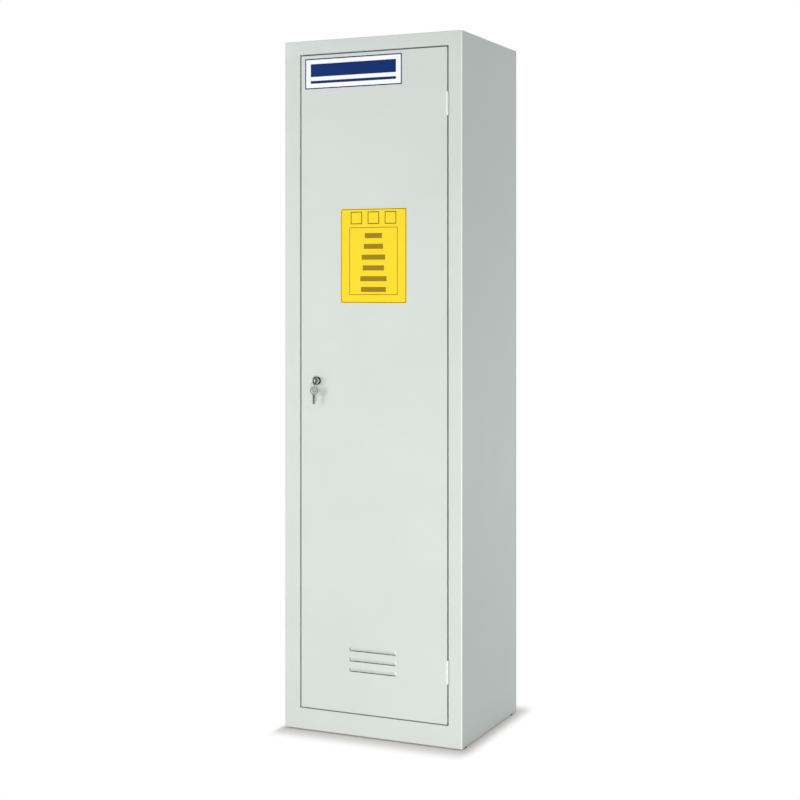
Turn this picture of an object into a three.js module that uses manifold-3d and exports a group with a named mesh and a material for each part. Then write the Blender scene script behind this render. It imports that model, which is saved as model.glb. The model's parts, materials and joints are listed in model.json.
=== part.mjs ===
// Steel chemical storage cabinet with one hinged door, a three-point lock,
// tray shelves, a sump tray and an exhaust spigot on the roof.
// Millimetres, +Z up, +X to the right, the door faces -Y.
// The origin is at floor level in the middle of the whole outline, keys included.
import * as THREE from "three";
import { mergeVertices } from "three/addons/utils/BufferGeometryUtils.js";
import Module from "manifold-3d";

const wasm = await Module();
wasm.setup();

// Carcass
const cabinetWidth = 500;
const cabinetDepth = 400;
const cabinetHeight = 1800;
const sheetThickness = 1;
const footHeight = 3;
const footRadius = 15;
const footStemRadius = 4;
const footStemHeight = 12;
const footInset = 16;
const footSetback = 30;
const leftStileWidth = 45;
const rightStileWidth = 37;
const topRailHeight = 36;
const bottomRailHeight = 55;
const rebateDepth = 24;
const lipWidth = 12;
const flangeWidth = 24;

// Door
const doorSideGap = 3.5;
const doorTopGap = 3;
const doorBottomGap = 2.5;
const doorDepth = 20;
const doorHem = 12;
const doorCornerRadius = 3;
const stiffenerWidth = 60;
const stiffenerHeight = 14;
const stiffenerFlange = 12;
const stiffenerBottomGap = 219.5;
const stiffenerTopGap = 21;

// Louvres, pressed inwards
const louvreWidth = 132.5;
const louvreHeight = 11;
const louvreDepth = 4;
const louvrePitch = 26.4;
const louvreRise = 106.5;
const louvreCount = 3;

// Cards on the door, measured from its left edge, its top and the lock
const nameCardWidth = 276;
const nameCardHeight = 79.5;
const nameCardInset = 11.5;
const nameCardTopGap = 8.5;
const contentsCardWidth = 185.5;
const contentsCardHeight = 243;
const contentsCardInset = 115;
const contentsCardRise = 202;
const cardThickness = 0.5;

// Hinges
const upperHingeInset = 142.5;
const lowerHingeInset = 133;
const barrelLength = 58;
const barrelRadius = 3;
const barrelProud = 1.5;
const pinRadius = 1.7;
const pinHeadRadius = 2.6;
const pinHeadHeight = 1.5;
const pinClearance = 0.1;
const leafThickness = 1.4;
const leafDepth = 14;
const knuckleGap = 0.5;

// Lock, key and the two shooting bolts
const lockFromLeft = 95.1;
const lockHeight = 914.3;
const rosetteRadius = 10.7;
const rosetteProud = 3;
const barrelCaseRadius = 9;
const barrelCaseReach = 24.5;
const nutRadius = 14;
const nutThickness = 4;
const plugRadius = 6;
const plugReach = 25;
const plugGap = 0.35;
const camThickness = 2;
const camRadius = 16;
const tongueLength = 46;
const tongueWidth = 13;
const camPinRadius = 2;
const camPinLength = 4;
const camPinCircle = 12;
const camBoltRadius = 2;
const camBoltDepth = 3;
const camBoltHeadRadius = 3.6;
const camBoltHeadHeight = 3;
const rodRadius = 3;
const rodSetback = 28.5;
const yokeThickness = 2;
const yokeMargin = 1.6;
const yokePinGap = 0.6;
const yokeStandoff = 1;
const yokeWeld = 12;
const rodEndGap = 1;
const tipClearance = 2;
const guideThickness = 2;
const guideWidth = 18;
const guideFoot = 24;
const guideGap = 0.35;
const guideFromLock = 85;
const guideFromTip = 60;

// Keys and their ring
const bowRadius = 11;
const keyThickness = 1.6;
const keyHoleRadius = 4.2;
const keyHoleOffset = 4.6;
const bladeLength = 24;
const bladeWidth = 6.4;
const bladeTip = 2.2;
const keyCut = 1.2;
const keyCutPitch = 4;
const keyCutCount = 4;
const keyStandoff = 0.6;
const ringRadius = 8;
const ringWireRadius = 0.6;
const ringHang = 2.65;

// Shelving and trays
const uprightWidth = 25;
const uprightDepth = 12;
const uprightSheet = 1.2;
const uprightBottomGap = 50;
const uprightTopGap = 80;
const frontUprightSetback = 80;
const rearUprightSetback = 330;
const slotPitch = 50;
const slotWidth = 12;
const slotHeight = 4;
const slotCountBelowShelves = 7;
const slotCountPerShelf = 8;
const shelfCount = 3;
const shelfSetback = 50;
const shelfRearGap = 12;
const shelfSideGap = 1.5;
const shelfLip = 30;
const clipLedge = 12;
const clipThickness = 1.5;
const clipDrop = 8;
const sumpWidth = 380;
const sumpSetback = 45;
const sumpRearGap = 20;
const sumpHeight = 50;
const sumpWall = 4;
const bufferRadius = 3.5;
const bufferInset = 250;

// Exhaust spigot
const spigotSetback = 290;
const spigotRadius = 50;
const spigotHeight = 35;
const spigotWall = 1.5;
const spigotFlange = 20;
const spigotFlangeThickness = 2;

// Clearance between fitted pieces, and how far a cutting tool runs past a face
const fitGap = 0.3;
const overrun = 2;

// Roundness of turned pieces
const wideSides = 40;
const narrowSides = 24;
const fineSides = 16;

// Planes that the pieces share
const keyReach = rosetteProud + keyStandoff + 2 * bowRadius;
const frontY = (keyReach - cabinetDepth) / 2;
const backY = frontY + cabinetDepth;
const leftX = -cabinetWidth / 2;
const rightX = cabinetWidth / 2;
const baseZ = footHeight;
const topZ = cabinetHeight;
const openingLeft = leftX + leftStileWidth;
const openingRight = rightX - rightStileWidth;
const openingBottom = baseZ + bottomRailHeight;
const openingTop = topZ - topRailHeight;
const rebateY = frontY + rebateDepth;
const lipY = rebateY - sheetThickness;
const floorZ = openingBottom + lipWidth;
const innerBackY = backY - sheetThickness;
const flangeY = innerBackY - sheetThickness;
const doorLeft = openingLeft + doorSideGap;
const doorRight = openingRight - doorSideGap;
const doorBottom = openingBottom + doorBottomGap;
const doorTop = openingTop - doorTopGap;
const doorRearY = frontY + doorDepth;
const doorInnerY = frontY + sheetThickness;
const doorMidX = (doorLeft + doorRight) / 2;
const lockX = leftX + lockFromLeft;
const hingeX = (openingRight + doorRight) / 2;
const hingeY = frontY - barrelProud;
const camY = frontY + plugReach;
const camRearY = camY + camThickness;
const pinOffset = camPinCircle * Math.SQRT1_2;
const rodY = frontY + rodSetback;
const upperRodX = lockX + camPinCircle;
const lowerRodX = lockX - camPinCircle;

const footDepths = [frontY + footSetback, innerBackY - footSetback];
const upperHingeZ = doorTop - upperHingeInset;
const lowerHingeZ = doorBottom + lowerHingeInset;
const uprightBottom = floorZ + uprightBottomGap;
const uprightTop = topZ - uprightTopGap;

// Finishes
function finish(color, roughness, metalness) {
  return new THREE.MeshStandardMaterial({ color, roughness, metalness });
}
const paint = finish(0xdfe4e2, 0.45, 0.1);
const shelfPaint = finish(0xd6dbd9, 0.5, 0.1);
const zinc = finish(0xb9bdc0, 0.35, 0.9);
const chrome = finish(0xd8dadc, 0.12, 1);
const steel = finish(0x9a9da1, 0.3, 1);
const nickel = finish(0xb4b2ad, 0.25, 1);
const polypropylene = finish(0xe6e8e6, 0.55, 0);
const rubber = finish(0x202224, 0.85, 0);
const whiteCard = finish(0xf6f7f8, 0.6, 0);
const yellowCard = finish(0xfbe03c, 0.6, 0);

// Solids
function solid(geometry) {
  geometry.deleteAttribute("normal");
  geometry.deleteAttribute("uv");
  const merged = mergeVertices(geometry);
  const vertProperties = new Float32Array(merged.attributes.position.array);
  const triVerts = new Uint32Array(merged.index.array);
  return new wasm.Manifold(new wasm.Mesh({ numProp: 3, vertProperties, triVerts }));
}

function join(...pieces) {
  return pieces.reduce((whole, piece) => whole.add(piece));
}

function cut(body, ...tools) {
  return tools.reduce((rest, tool) => rest.subtract(tool), body);
}

// Extrudes an outline between two planes. Its points are x and y for a prism along z,
// x and z for one along y, and y and z for one along x.
function prism(points, [low, high], along) {
  const shape = new THREE.Shape(points.map(([u, v]) => new THREE.Vector2(u, v)));
  const geometry = new THREE.ExtrudeGeometry(shape, { depth: 1, bevelEnabled: false });
  const position = geometry.attributes.position;
  for (let index = 0; index < position.count; index += 1) {
    const u = position.getX(index);
    const v = position.getY(index);
    const far = position.getZ(index) > 0;
    const corners = {
      x: [far ? high : low, u, v],
      y: [u, far ? low : high, v],
      z: [u, v, far ? high : low],
    };
    position.setXYZ(index, ...corners[along]);
  }
  return solid(geometry);
}

function block([x0, x1], [y0, y1], zs) {
  return prism([[x0, y0], [x1, y0], [x1, y1], [x0, y1]], zs, "z");
}

function arc([u, v], radius, from, to, steps) {
  const points = [];
  for (let step = 0; step <= steps; step += 1) {
    const angle = from + (to - from) * step / steps;
    points.push([u + radius * Math.cos(angle), v + radius * Math.sin(angle)]);
  }
  return points;
}

function circle(centre, radius, sides) {
  return arc(centre, radius, 0, 2 * Math.PI, sides).slice(0, sides);
}

function uprightCylinder(x, y, zs, radius, sides) {
  return prism(circle([x, y], radius, sides), zs, "z");
}

function levelCylinder(x, ys, z, radius, sides) {
  return prism(circle([x, z], radius, sides), ys, "y");
}

function roundedPlate([x0, x1], ys, [z0, z1], radius) {
  const quarter = Math.PI / 2;
  const steps = fineSides / 4;
  const outline = [
    ...arc([x1 - radius, z0 + radius], radius, -quarter, 0, steps),
    ...arc([x1 - radius, z1 - radius], radius, 0, quarter, steps),
    ...arc([x0 + radius, z1 - radius], radius, quarter, 2 * quarter, steps),
    ...arc([x0 + radius, z0 + radius], radius, 2 * quarter, 3 * quarter, steps),
  ];
  return prism(outline, ys, "y");
}

function inset([low, high], amount) {
  return [low + amount, high - amount];
}

function around(centre, half) {
  return [centre - half, centre + half];
}

const cabinet = new THREE.Group();

function place(name, body, material) {
  const { numProp, vertProperties, triVerts } = body.getMesh();
  const geometry = new THREE.BufferGeometry();
  geometry.setAttribute("position", new THREE.BufferAttribute(vertProperties, numProp));
  geometry.setIndex(new THREE.BufferAttribute(triVerts, 1));
  geometry.computeVertexNormals();
  const mesh = new THREE.Mesh(geometry, material);
  mesh.name = name;
  cabinet.add(mesh);
  return mesh;
}

// Everything below is measured inwards from a side wall's outer face
function fromWall(side, near, far) {
  const wall = side * cabinetWidth / 2;
  return [wall - side * near, wall - side * far].sort((a, b) => a - b);
}

// Side walls, each with its door stile, rebate, stop lip and flanges
function sideWall(name, side, stile) {
  const depths = [frontY, innerBackY];
  const heights = [baseZ, topZ];
  const betweenEnds = inset(heights, sheetThickness);
  const skin = block(fromWall(side, 0, sheetThickness), depths, heights);
  const front = block(fromWall(side, 0, stile), [frontY, doorInnerY], heights);
  const rebate = block(fromWall(side, stile - sheetThickness, stile), [frontY, rebateY], betweenEnds);
  const lip = block(fromWall(side, stile - sheetThickness, stile + lipWidth), [lipY, rebateY],
    [floorZ, openingTop - lipWidth]);
  const rear = block(fromWall(side, 0, flangeWidth), [flangeY, innerBackY], betweenEnds);
  const bottom = block(fromWall(side, 0, flangeWidth), depths, [baseZ, baseZ + sheetThickness]);
  const [footX] = fromWall(side, footInset, footInset);
  const footHoles = footDepths.map((y) =>
    uprightCylinder(footX, y, [baseZ - overrun, baseZ + overrun], footStemRadius + fitGap, narrowSides));
  const wall = cut(join(skin, front, rebate, lip, rear, bottom), ...footHoles, ...hingeNotches());
  place(name, wall, paint);
}

// Room for the hinge barrels in the stile and in the door's edge
function hingeNotches() {
  return [upperHingeZ, lowerHingeZ].map((z) => {
    const [low, high] = around(z, barrelLength / 2);
    const span = [low - pinHeadHeight - fitGap, high + fitGap];
    return uprightCylinder(hingeX, hingeY, span, barrelRadius + fitGap, narrowSides);
  });
}

const opening = [openingLeft, openingRight];
const inside = [leftX + sheetThickness, rightX - sheetThickness];
const betweenFlanges = [leftX + flangeWidth, rightX - flangeWidth];
const spigotY = frontY + spigotSetback;
const spigotBore = spigotRadius - spigotWall;

function roof() {
  const skin = block(inside, [doorInnerY, innerBackY], [topZ - sheetThickness, topZ]);
  const rail = block(opening, [frontY, doorInnerY], [openingTop, topZ]);
  const rebate = block(opening, [frontY, rebateY], [openingTop, openingTop + sheetThickness]);
  const lip = block(opening, [lipY, rebateY], [openingTop - lipWidth, openingTop + sheetThickness]);
  const rear = block(betweenFlanges, [flangeY, innerBackY], [topZ - flangeWidth, topZ]);
  const hole = uprightCylinder(0, spigotY, [topZ - overrun, topZ + overrun], spigotBore, wideSides);
  place("roof", cut(join(skin, rail, rebate, lip, rear), hole), paint);
}

// The floor stands a lip's height above the door rail
function floorPan() {
  const rail = block(opening, [frontY, doorInnerY], [baseZ, openingBottom]);
  const flange = block(opening, [frontY, frontY + flangeWidth], [baseZ, baseZ + sheetThickness]);
  const rebate = block(opening, [frontY, rebateY], [openingBottom - sheetThickness, openingBottom]);
  const step = block(opening, [lipY, rebateY], [openingBottom - sheetThickness, floorZ]);
  const edge = block(opening, [lipY, rebateY + sheetThickness], [floorZ - sheetThickness, floorZ]);
  const plate = block(inside, [rebateY, flangeY], [floorZ - sheetThickness, floorZ]);
  const rear = block(betweenFlanges, [flangeY - sheetThickness, flangeY], [floorZ - flangeWidth, floorZ]);
  const rodHole = uprightCylinder(lowerRodX, rodY, [floorZ - overrun, floorZ + overrun],
    rodRadius + guideGap, narrowSides);
  place("floor_pan", cut(join(rail, flange, rebate, step, edge, plate, rear), rodHole), paint);
}

function backPanel() {
  place("back_panel", block([leftX, rightX], [innerBackY, backY], [baseZ, topZ]), paint);
}

function foot(name, side, y) {
  const [x] = fromWall(side, footInset, footInset);
  const pad = uprightCylinder(x, y, [0, footHeight], footRadius, narrowSides);
  const stem = uprightCylinder(x, y, [0, footStemHeight], footStemRadius, narrowSides);
  place(name, join(pad, stem), rubber);
}

function exhaustSpigot() {
  const flange = uprightCylinder(0, spigotY, [topZ, topZ + spigotFlangeThickness],
    spigotRadius + spigotFlange, wideSides);
  const tube = uprightCylinder(0, spigotY, [topZ, topZ + spigotHeight], spigotRadius, wideSides);
  const bore = uprightCylinder(0, spigotY, [topZ - overrun, topZ + spigotHeight + overrun],
    spigotBore, wideSides);
  place("exhaust_spigot", cut(join(flange, tube), bore), polypropylene);
}

// Slotted shelf uprights, channels that open towards the side walls
const slotCount = Math.floor((uprightTop - uprightBottom) / slotPitch);

function slotZ(index) {
  return uprightBottom + (index + 1 / 2) * slotPitch;
}

function upright(name, side, y) {
  const reach = sheetThickness + uprightDepth;
  const outer = block(fromWall(side, sheetThickness, reach), around(y, uprightWidth / 2),
    [uprightBottom, uprightTop]);
  const hollow = block(fromWall(side, 0, reach - uprightSheet),
    around(y, uprightWidth / 2 - uprightSheet), [uprightBottom - overrun, uprightTop + overrun]);
  const slots = [];
  for (let index = 0; index < slotCount; index += 1) {
    slots.push(block(fromWall(side, reach - uprightSheet - overrun, reach + overrun),
      around(y, slotWidth / 2), around(slotZ(index), slotHeight / 2)));
  }
  place(name, cut(outer, hollow, ...slots), zinc);
}

// A clip hooks into a slot and carries one corner of a shelf
function clip(name, side, y, z) {
  const face = sheetThickness + uprightDepth;
  const across = around(y, slotWidth / 2 - fitGap);
  const half = slotHeight / 2 - fitGap;
  const behind = face - uprightSheet - fitGap;
  const ledge = block(fromWall(side, behind - clipThickness, face + clipLedge), across, around(z, half));
  const hook = block(fromWall(side, behind - clipThickness, behind), across, [z - clipDrop, z + half]);
  const heel = block(fromWall(side, face, face + clipThickness), across, [z - clipDrop, z + half]);
  place(name, join(ledge, hook, heel), zinc);
}

// Tray shelves and their clips
const shelfEdge = sheetThickness + uprightDepth + shelfSideGap;
const shelfDepths = [frontY + shelfSetback, innerBackY - shelfRearGap];
const uprightDepths = { front: frontY + frontUprightSetback, rear: frontY + rearUprightSetback };
const sides = { left: -1, right: 1 };
const shelfNames = ["lower", "middle", "upper"];

function shelfBase(level) {
  return slotZ(slotCountBelowShelves + level * slotCountPerShelf) + slotHeight / 2 - fitGap;
}

function tray(xs, ys, [z0, z1], wall) {
  return cut(block(xs, ys, [z0, z1]), block(inset(xs, wall), inset(ys, wall), [z0 + wall, z1 + overrun]));
}

function shelf(level) {
  const z = shelfBase(level);
  const xs = inset([leftX, rightX], shelfEdge);
  place(`shelf_${shelfNames[level]}`, tray(xs, shelfDepths, [z, z + shelfLip], sheetThickness), shelfPaint);
}

function shelfClips(level) {
  const z = slotZ(slotCountBelowShelves + level * slotCountPerShelf);
  for (const [sideName, side] of Object.entries(sides)) {
    for (const [endName, y] of Object.entries(uprightDepths)) {
      clip(`clip_${shelfNames[level]}_${endName}_${sideName}`, side, y, z);
    }
  }
}

function sumpTray() {
  const depths = [frontY + sumpSetback, innerBackY - sumpRearGap];
  const walls = tray(around(doorMidX, sumpWidth / 2), depths, [floorZ, floorZ + sumpHeight], sumpWall);
  place("sump_tray", walls, polypropylene);
}

// Rubber buffers between the door's hem and the stop lip
function doorBuffer(name, z) {
  const x = (doorLeft + openingLeft + lipWidth) / 2;
  const span = [doorRearY + fitGap, lipY];
  place(name, levelCylinder(x, span, z, bufferRadius, fineSides), rubber);
}

// Door pan with hemmed edges and louvres
function louvreHood(slitZ) {
  const headZ = slitZ + louvreHeight;
  const tipY = frontY + louvreDepth;
  const rimZ = headZ + sheetThickness;
  const outside = [[frontY, slitZ], [tipY, slitZ], [doorInnerY, rimZ], [frontY, rimZ]];
  const within = [[frontY - overrun, slitZ - overrun], [tipY - sheetThickness, slitZ - overrun],
    [tipY - sheetThickness, slitZ], [frontY, headZ], [frontY - overrun, headZ]];
  const half = louvreWidth / 2;
  return cut(prism(outside, around(doorMidX, half + sheetThickness), "x"),
    prism(within, around(doorMidX, half), "x"));
}

function doorPanel() {
  const xs = [doorLeft, doorRight];
  const zs = [doorBottom, doorTop];
  const outside = roundedPlate(xs, [frontY, doorRearY], zs, doorCornerRadius);
  const within = roundedPlate(inset(xs, sheetThickness), [doorInnerY, doorRearY - sheetThickness],
    inset(zs, sheetThickness), doorCornerRadius - sheetThickness);
  const rearWindow = block(inset(xs, doorHem), [doorRearY - 2 * sheetThickness, doorRearY + overrun],
    inset(zs, doorHem));
  const lockHole = levelCylinder(lockX, [frontY - overrun, doorInnerY + overrun], lockHeight,
    barrelCaseRadius + fitGap, narrowSides);
  let panel = cut(outside, within, rearWindow, lockHole, ...hingeNotches());
  for (let index = 0; index < louvreCount; index += 1) {
    const slitZ = doorBottom + louvreRise + index * louvrePitch;
    const window = block(around(doorMidX, louvreWidth / 2), [frontY - overrun, doorInnerY + overrun],
      [slitZ, slitZ + louvreHeight]);
    panel = join(cut(panel, window), louvreHood(slitZ));
  }
  place("door_panel", panel, paint);
}

// A top-hat section down the inside of the door
function doorStiffener() {
  const half = stiffenerWidth / 2;
  const inner = half - sheetThickness;
  const crown = stiffenerHeight - sheetThickness;
  const edge = half + stiffenerFlange;
  const outline = [
    [-edge, 0], [-inner, 0], [-inner, crown], [inner, crown], [inner, 0], [edge, 0],
    [edge, sheetThickness], [half, sheetThickness], [half, stiffenerHeight],
    [-half, stiffenerHeight], [-half, sheetThickness], [-edge, sheetThickness],
  ];
  const placed = outline.map(([x, y]) => [doorMidX + x, doorInnerY + y]);
  const heights = [doorBottom + stiffenerBottomGap, doorTop - stiffenerTopGap];
  place("door_stiffener", prism(placed, heights, "z"), paint);
}

function card(name, [x, width], [z, height], material) {
  place(name, block([x, x + width], [frontY - cardThickness, frontY], [z, z + height]), material);
}

// Hinges of two leaves, three knuckles and a headed pin
function hingeLeaf(name, z, xs, knuckles) {
  const [low, high] = around(z, barrelLength / 2);
  const plate = block(xs, [hingeY + barrelRadius + fitGap, frontY + leafDepth], [low, high]);
  const rolls = knuckles.map((span) => join(
    uprightCylinder(hingeX, hingeY, span, barrelRadius, narrowSides),
    block(xs, [hingeY, frontY + leafDepth], span),
  ));
  const bore = uprightCylinder(hingeX, hingeY, [low - overrun, high + overrun],
    pinRadius + pinClearance, narrowSides);
  place(name, cut(join(plate, ...rolls), bore), paint);
}

function hinge(level, z) {
  const [low, high] = around(z, barrelLength / 2);
  const knuckle = (barrelLength - 2 * knuckleGap) / 3;
  const outer = [[low, low + knuckle], [high - knuckle, high]];
  const middle = [inset([low, high], knuckle + knuckleGap)];
  hingeLeaf(`hinge_${level}_frame_leaf`, z, [openingRight - leafThickness, openingRight], outer);
  hingeLeaf(`hinge_${level}_door_leaf`, z, [doorRight, doorRight + leafThickness], middle);
  const shaft = uprightCylinder(hingeX, hingeY, [low - pinHeadHeight, high], pinRadius, narrowSides);
  const head = uprightCylinder(hingeX, hingeY, [low - pinHeadHeight, low], pinHeadRadius, narrowSides);
  place(`hinge_${level}_pin`, join(shaft, head), steel);
}

// Lock case, its nut, the turning plug and the cam behind it
const faceY = frontY - rosetteProud;
const bladeTipY = faceY - keyStandoff + bladeLength;
const camBoltTipY = camY - camBoltDepth;

function lockDisc(ys, radius, sides) {
  return levelCylinder(lockX, ys, lockHeight, radius, sides);
}

function lockBody() {
  const rosette = lockDisc([faceY, frontY], rosetteRadius, wideSides);
  const shell = lockDisc([faceY, frontY + barrelCaseReach], barrelCaseRadius, wideSides);
  const bore = lockDisc([faceY - overrun, camY], plugRadius + plugGap, wideSides);
  place("lock_body", cut(join(rosette, shell), bore), chrome);
}

function lockNut() {
  const hexagon = lockDisc([doorInnerY, doorInnerY + nutThickness], nutRadius, 6);
  const bore = lockDisc([frontY, doorInnerY + nutThickness + overrun], barrelCaseRadius + fitGap,
    wideSides);
  place("lock_nut", cut(hexagon, bore), zinc);
}

function lockPlug() {
  const body = lockDisc([faceY, camY], plugRadius, wideSides);
  const keyway = block(around(lockX, keyThickness / 2 + fitGap), [faceY - overrun, bladeTipY + fitGap],
    around(lockHeight, bladeWidth / 2 + fitGap));
  const boltHole = lockDisc([camBoltTipY - fitGap, camY + overrun], camBoltRadius + fitGap, fineSides);
  place("lock_plug", cut(body, keyway, boltHole), chrome);
}

function lockCam() {
  const ys = [camY, camRearY];
  const half = tongueWidth / 2;
  const disc = lockDisc(ys, camRadius, wideSides);
  const tongueEnd = lockHeight + tongueLength - half;
  const tongue = block(around(lockX, half), ys, [lockHeight, tongueEnd]);
  const nose = levelCylinder(lockX, ys, tongueEnd, half, narrowSides);
  const pins = [1, -1].map((way) => levelCylinder(lockX + way * pinOffset,
    [camY, camRearY + camPinLength], lockHeight - way * pinOffset, camPinRadius, fineSides));
  const hole = lockDisc([camY - overrun, camRearY + overrun], camBoltRadius + fitGap, fineSides);
  place("lock_cam", cut(join(disc, tongue, nose, ...pins), hole), zinc);
}

function camBolt() {
  const head = lockDisc([camRearY, camRearY + camBoltHeadHeight], camBoltHeadRadius, fineSides);
  const stem = lockDisc([camBoltTipY, camRearY + camBoltHeadHeight], camBoltRadius, fineSides);
  place("cam_bolt", join(head, stem), steel);
}

// Shooting bolts: way is 1 for the upper rod, which follows the right-hand cam pin, and -1 for
// the lower rod, which follows the left-hand one
function shootingBolt(name, way, tipZ) {
  const x = lockX + way * camPinCircle;
  const rodEnd = lockHeight + way * (camRadius + rodEndGap);
  const rod = uprightCylinder(x, rodY, ordered(rodEnd, tipZ), rodRadius, narrowSides);
  const slotHalf = camPinRadius + yokePinGap;
  const slotXs = ordered(lockX + way * (pinOffset - slotHalf), lockX + way * (camPinCircle + slotHalf));
  const pinZ = lockHeight - way * pinOffset;
  const yokeYs = [camRearY + yokeStandoff, camRearY + yokeStandoff + yokeThickness];
  const plate = block(inset(slotXs, -yokeMargin), yokeYs,
    ordered(pinZ - way * (slotHalf + yokeMargin), rodEnd + way * yokeWeld));
  const slot = block(slotXs, inset(yokeYs, -overrun), around(pinZ, slotHalf));
  place(name, cut(join(rod, plate), slot), zinc);
}

function ordered(a, b) {
  return [Math.min(a, b), Math.max(a, b)];
}

function rodGuide(name, x, z) {
  const across = around(x, guideWidth / 2);
  const footPlate = block(across, [doorInnerY, doorInnerY + guideThickness], [z, z + guideFoot]);
  const reach = rodY + rodRadius + guideGap + guideThickness;
  const arm = block(across, [doorInnerY, reach], [z, z + guideThickness]);
  const hole = uprightCylinder(x, rodY, [z - overrun, z + guideThickness + overrun],
    rodRadius + guideGap, narrowSides);
  place(name, cut(join(footPlate, arm), hole), zinc);
}

// A flat key drawn in X and Z about the middle of its bow, with its blade down and its hole up
function keyBlank() {
  const bow = levelCylinder(0, around(0, keyThickness / 2), 0, bowRadius, wideSides);
  const hole = levelCylinder(0, around(0, keyThickness), keyHoleOffset, keyHoleRadius, narrowSides);
  const half = bladeWidth / 2;
  const tip = -bowRadius - bladeLength;
  const outline = [[-half, -bowRadius / 2], [-half, tip + bladeTip], [0, tip], [half, tip + bladeTip]];
  for (let index = 0; index < keyCutCount; index += 1) {
    const start = tip + bladeTip + (index + 1 / 2) * keyCutPitch;
    outline.push([half, start], [half - keyCut, start + keyCutPitch / 2]);
  }
  outline.push([half, tip + bladeTip + (keyCutCount + 1 / 2) * keyCutPitch], [half, -bowRadius / 2]);
  return cut(join(bow, prism(outline, around(0, keyThickness / 2), "y")), hole);
}

// The key in the lock stands on edge, and its ring passes through its hole
const bowY = faceY - keyStandoff - bowRadius;
const keyHoleY = bowY - keyHoleOffset;
const ringTop = lockHeight - ringHang;
const ringBottom = ringTop - 2 * ringRadius;
const spareBowZ = ringBottom - ringHang - keyHoleOffset;

function keys() {
  const inserted = place("key", keyBlank(), nickel);
  inserted.position.set(lockX, bowY, lockHeight);
  inserted.rotation.set(Math.PI / 2, 0, Math.PI / 2);
  const spare = place("spare_key", keyBlank(), nickel);
  spare.position.set(lockX, keyHoleY, spareBowZ);
}

function keyRing() {
  const wire = new THREE.TorusGeometry(ringRadius, ringWireRadius, fineSides / 2, narrowSides);
  wire.rotateX(Math.PI / 2);
  wire.rotateZ(Math.PI / 4);
  wire.translate(lockX, keyHoleY, ringTop - ringRadius);
  place("key_ring", solid(wire), nickel);
}

function buildCarcass() {
  sideWall("left_side", -1, leftStileWidth);
  sideWall("right_side", 1, rightStileWidth);
  roof();
  floorPan();
  backPanel();
  exhaustSpigot();
  for (const [sideName, side] of Object.entries(sides)) {
    foot(`foot_front_${sideName}`, side, footDepths[0]);
    foot(`foot_rear_${sideName}`, side, footDepths[1]);
    for (const [endName, y] of Object.entries(uprightDepths)) {
      upright(`upright_${endName}_${sideName}`, side, y);
    }
  }
}

function buildInterior() {
  for (let level = 0; level < shelfCount; level += 1) {
    shelf(level);
    shelfClips(level);
  }
  sumpTray();
  doorBuffer("door_buffer_upper", openingTop - bufferInset);
  doorBuffer("door_buffer_lower", openingBottom + bufferInset);
}

function buildDoor() {
  doorPanel();
  doorStiffener();
  hinge("upper", upperHingeZ);
  hinge("lower", lowerHingeZ);
  card("name_card", [doorLeft + nameCardInset, nameCardWidth],
    [doorTop - nameCardTopGap - nameCardHeight, nameCardHeight], whiteCard);
  card("contents_card", [doorLeft + contentsCardInset, contentsCardWidth],
    [lockHeight + contentsCardRise, contentsCardHeight], yellowCard);
}

function buildLock() {
  lockBody();
  lockNut();
  lockPlug();
  lockCam();
  camBolt();
  const upperTip = openingTop - lipWidth - tipClearance;
  const lowerTip = floorZ + tipClearance;
  shootingBolt("upper_rod", 1, upperTip);
  shootingBolt("lower_rod", -1, lowerTip);
  rodGuide("rod_guide_upper_1", upperRodX, lockHeight + guideFromLock);
  rodGuide("rod_guide_upper_2", upperRodX, upperTip - guideFromTip);
  rodGuide("rod_guide_lower_1", lowerRodX, lockHeight - guideFromLock);
  rodGuide("rod_guide_lower_2", lowerRodX, lowerTip + guideFromTip);
  keys();
  keyRing();
}

buildCarcass();
buildInterior();
buildDoor();
buildLock();

export default cabinet;
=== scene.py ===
import json
import math
from contextlib import contextmanager

import bmesh
import bpy
from bpy.props import FloatProperty, FloatVectorProperty, IntProperty, PointerProperty
from mathutils import Matrix, Vector

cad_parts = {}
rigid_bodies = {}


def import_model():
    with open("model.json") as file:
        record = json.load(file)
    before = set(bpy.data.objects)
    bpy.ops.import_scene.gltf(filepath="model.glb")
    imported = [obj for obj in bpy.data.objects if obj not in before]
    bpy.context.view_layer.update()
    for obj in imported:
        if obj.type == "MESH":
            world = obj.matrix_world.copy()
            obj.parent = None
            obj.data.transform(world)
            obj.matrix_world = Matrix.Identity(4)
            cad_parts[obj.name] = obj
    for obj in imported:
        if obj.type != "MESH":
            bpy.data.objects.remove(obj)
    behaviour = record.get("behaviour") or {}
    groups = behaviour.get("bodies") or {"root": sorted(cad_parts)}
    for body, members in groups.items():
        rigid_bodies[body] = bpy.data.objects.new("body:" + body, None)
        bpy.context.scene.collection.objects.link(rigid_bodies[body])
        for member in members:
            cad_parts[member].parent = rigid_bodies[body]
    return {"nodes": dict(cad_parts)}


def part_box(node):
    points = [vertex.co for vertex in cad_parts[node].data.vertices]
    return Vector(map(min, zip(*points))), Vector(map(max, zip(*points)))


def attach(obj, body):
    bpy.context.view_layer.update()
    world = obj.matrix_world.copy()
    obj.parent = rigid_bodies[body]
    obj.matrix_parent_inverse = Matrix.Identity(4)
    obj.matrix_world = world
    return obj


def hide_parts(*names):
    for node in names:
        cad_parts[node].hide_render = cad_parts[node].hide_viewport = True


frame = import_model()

bl_info = {
    "name": "Chemical storage cabinet",
    "version": (1, 0, 0),
    "blender": (4, 5, 0),
    "location": "3D View > Sidebar > Cabinet",
    "description": "Steel storage cabinet with a lockable door, shelves, a sump tray and a duct spigot",
    "category": "Object",
}

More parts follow.
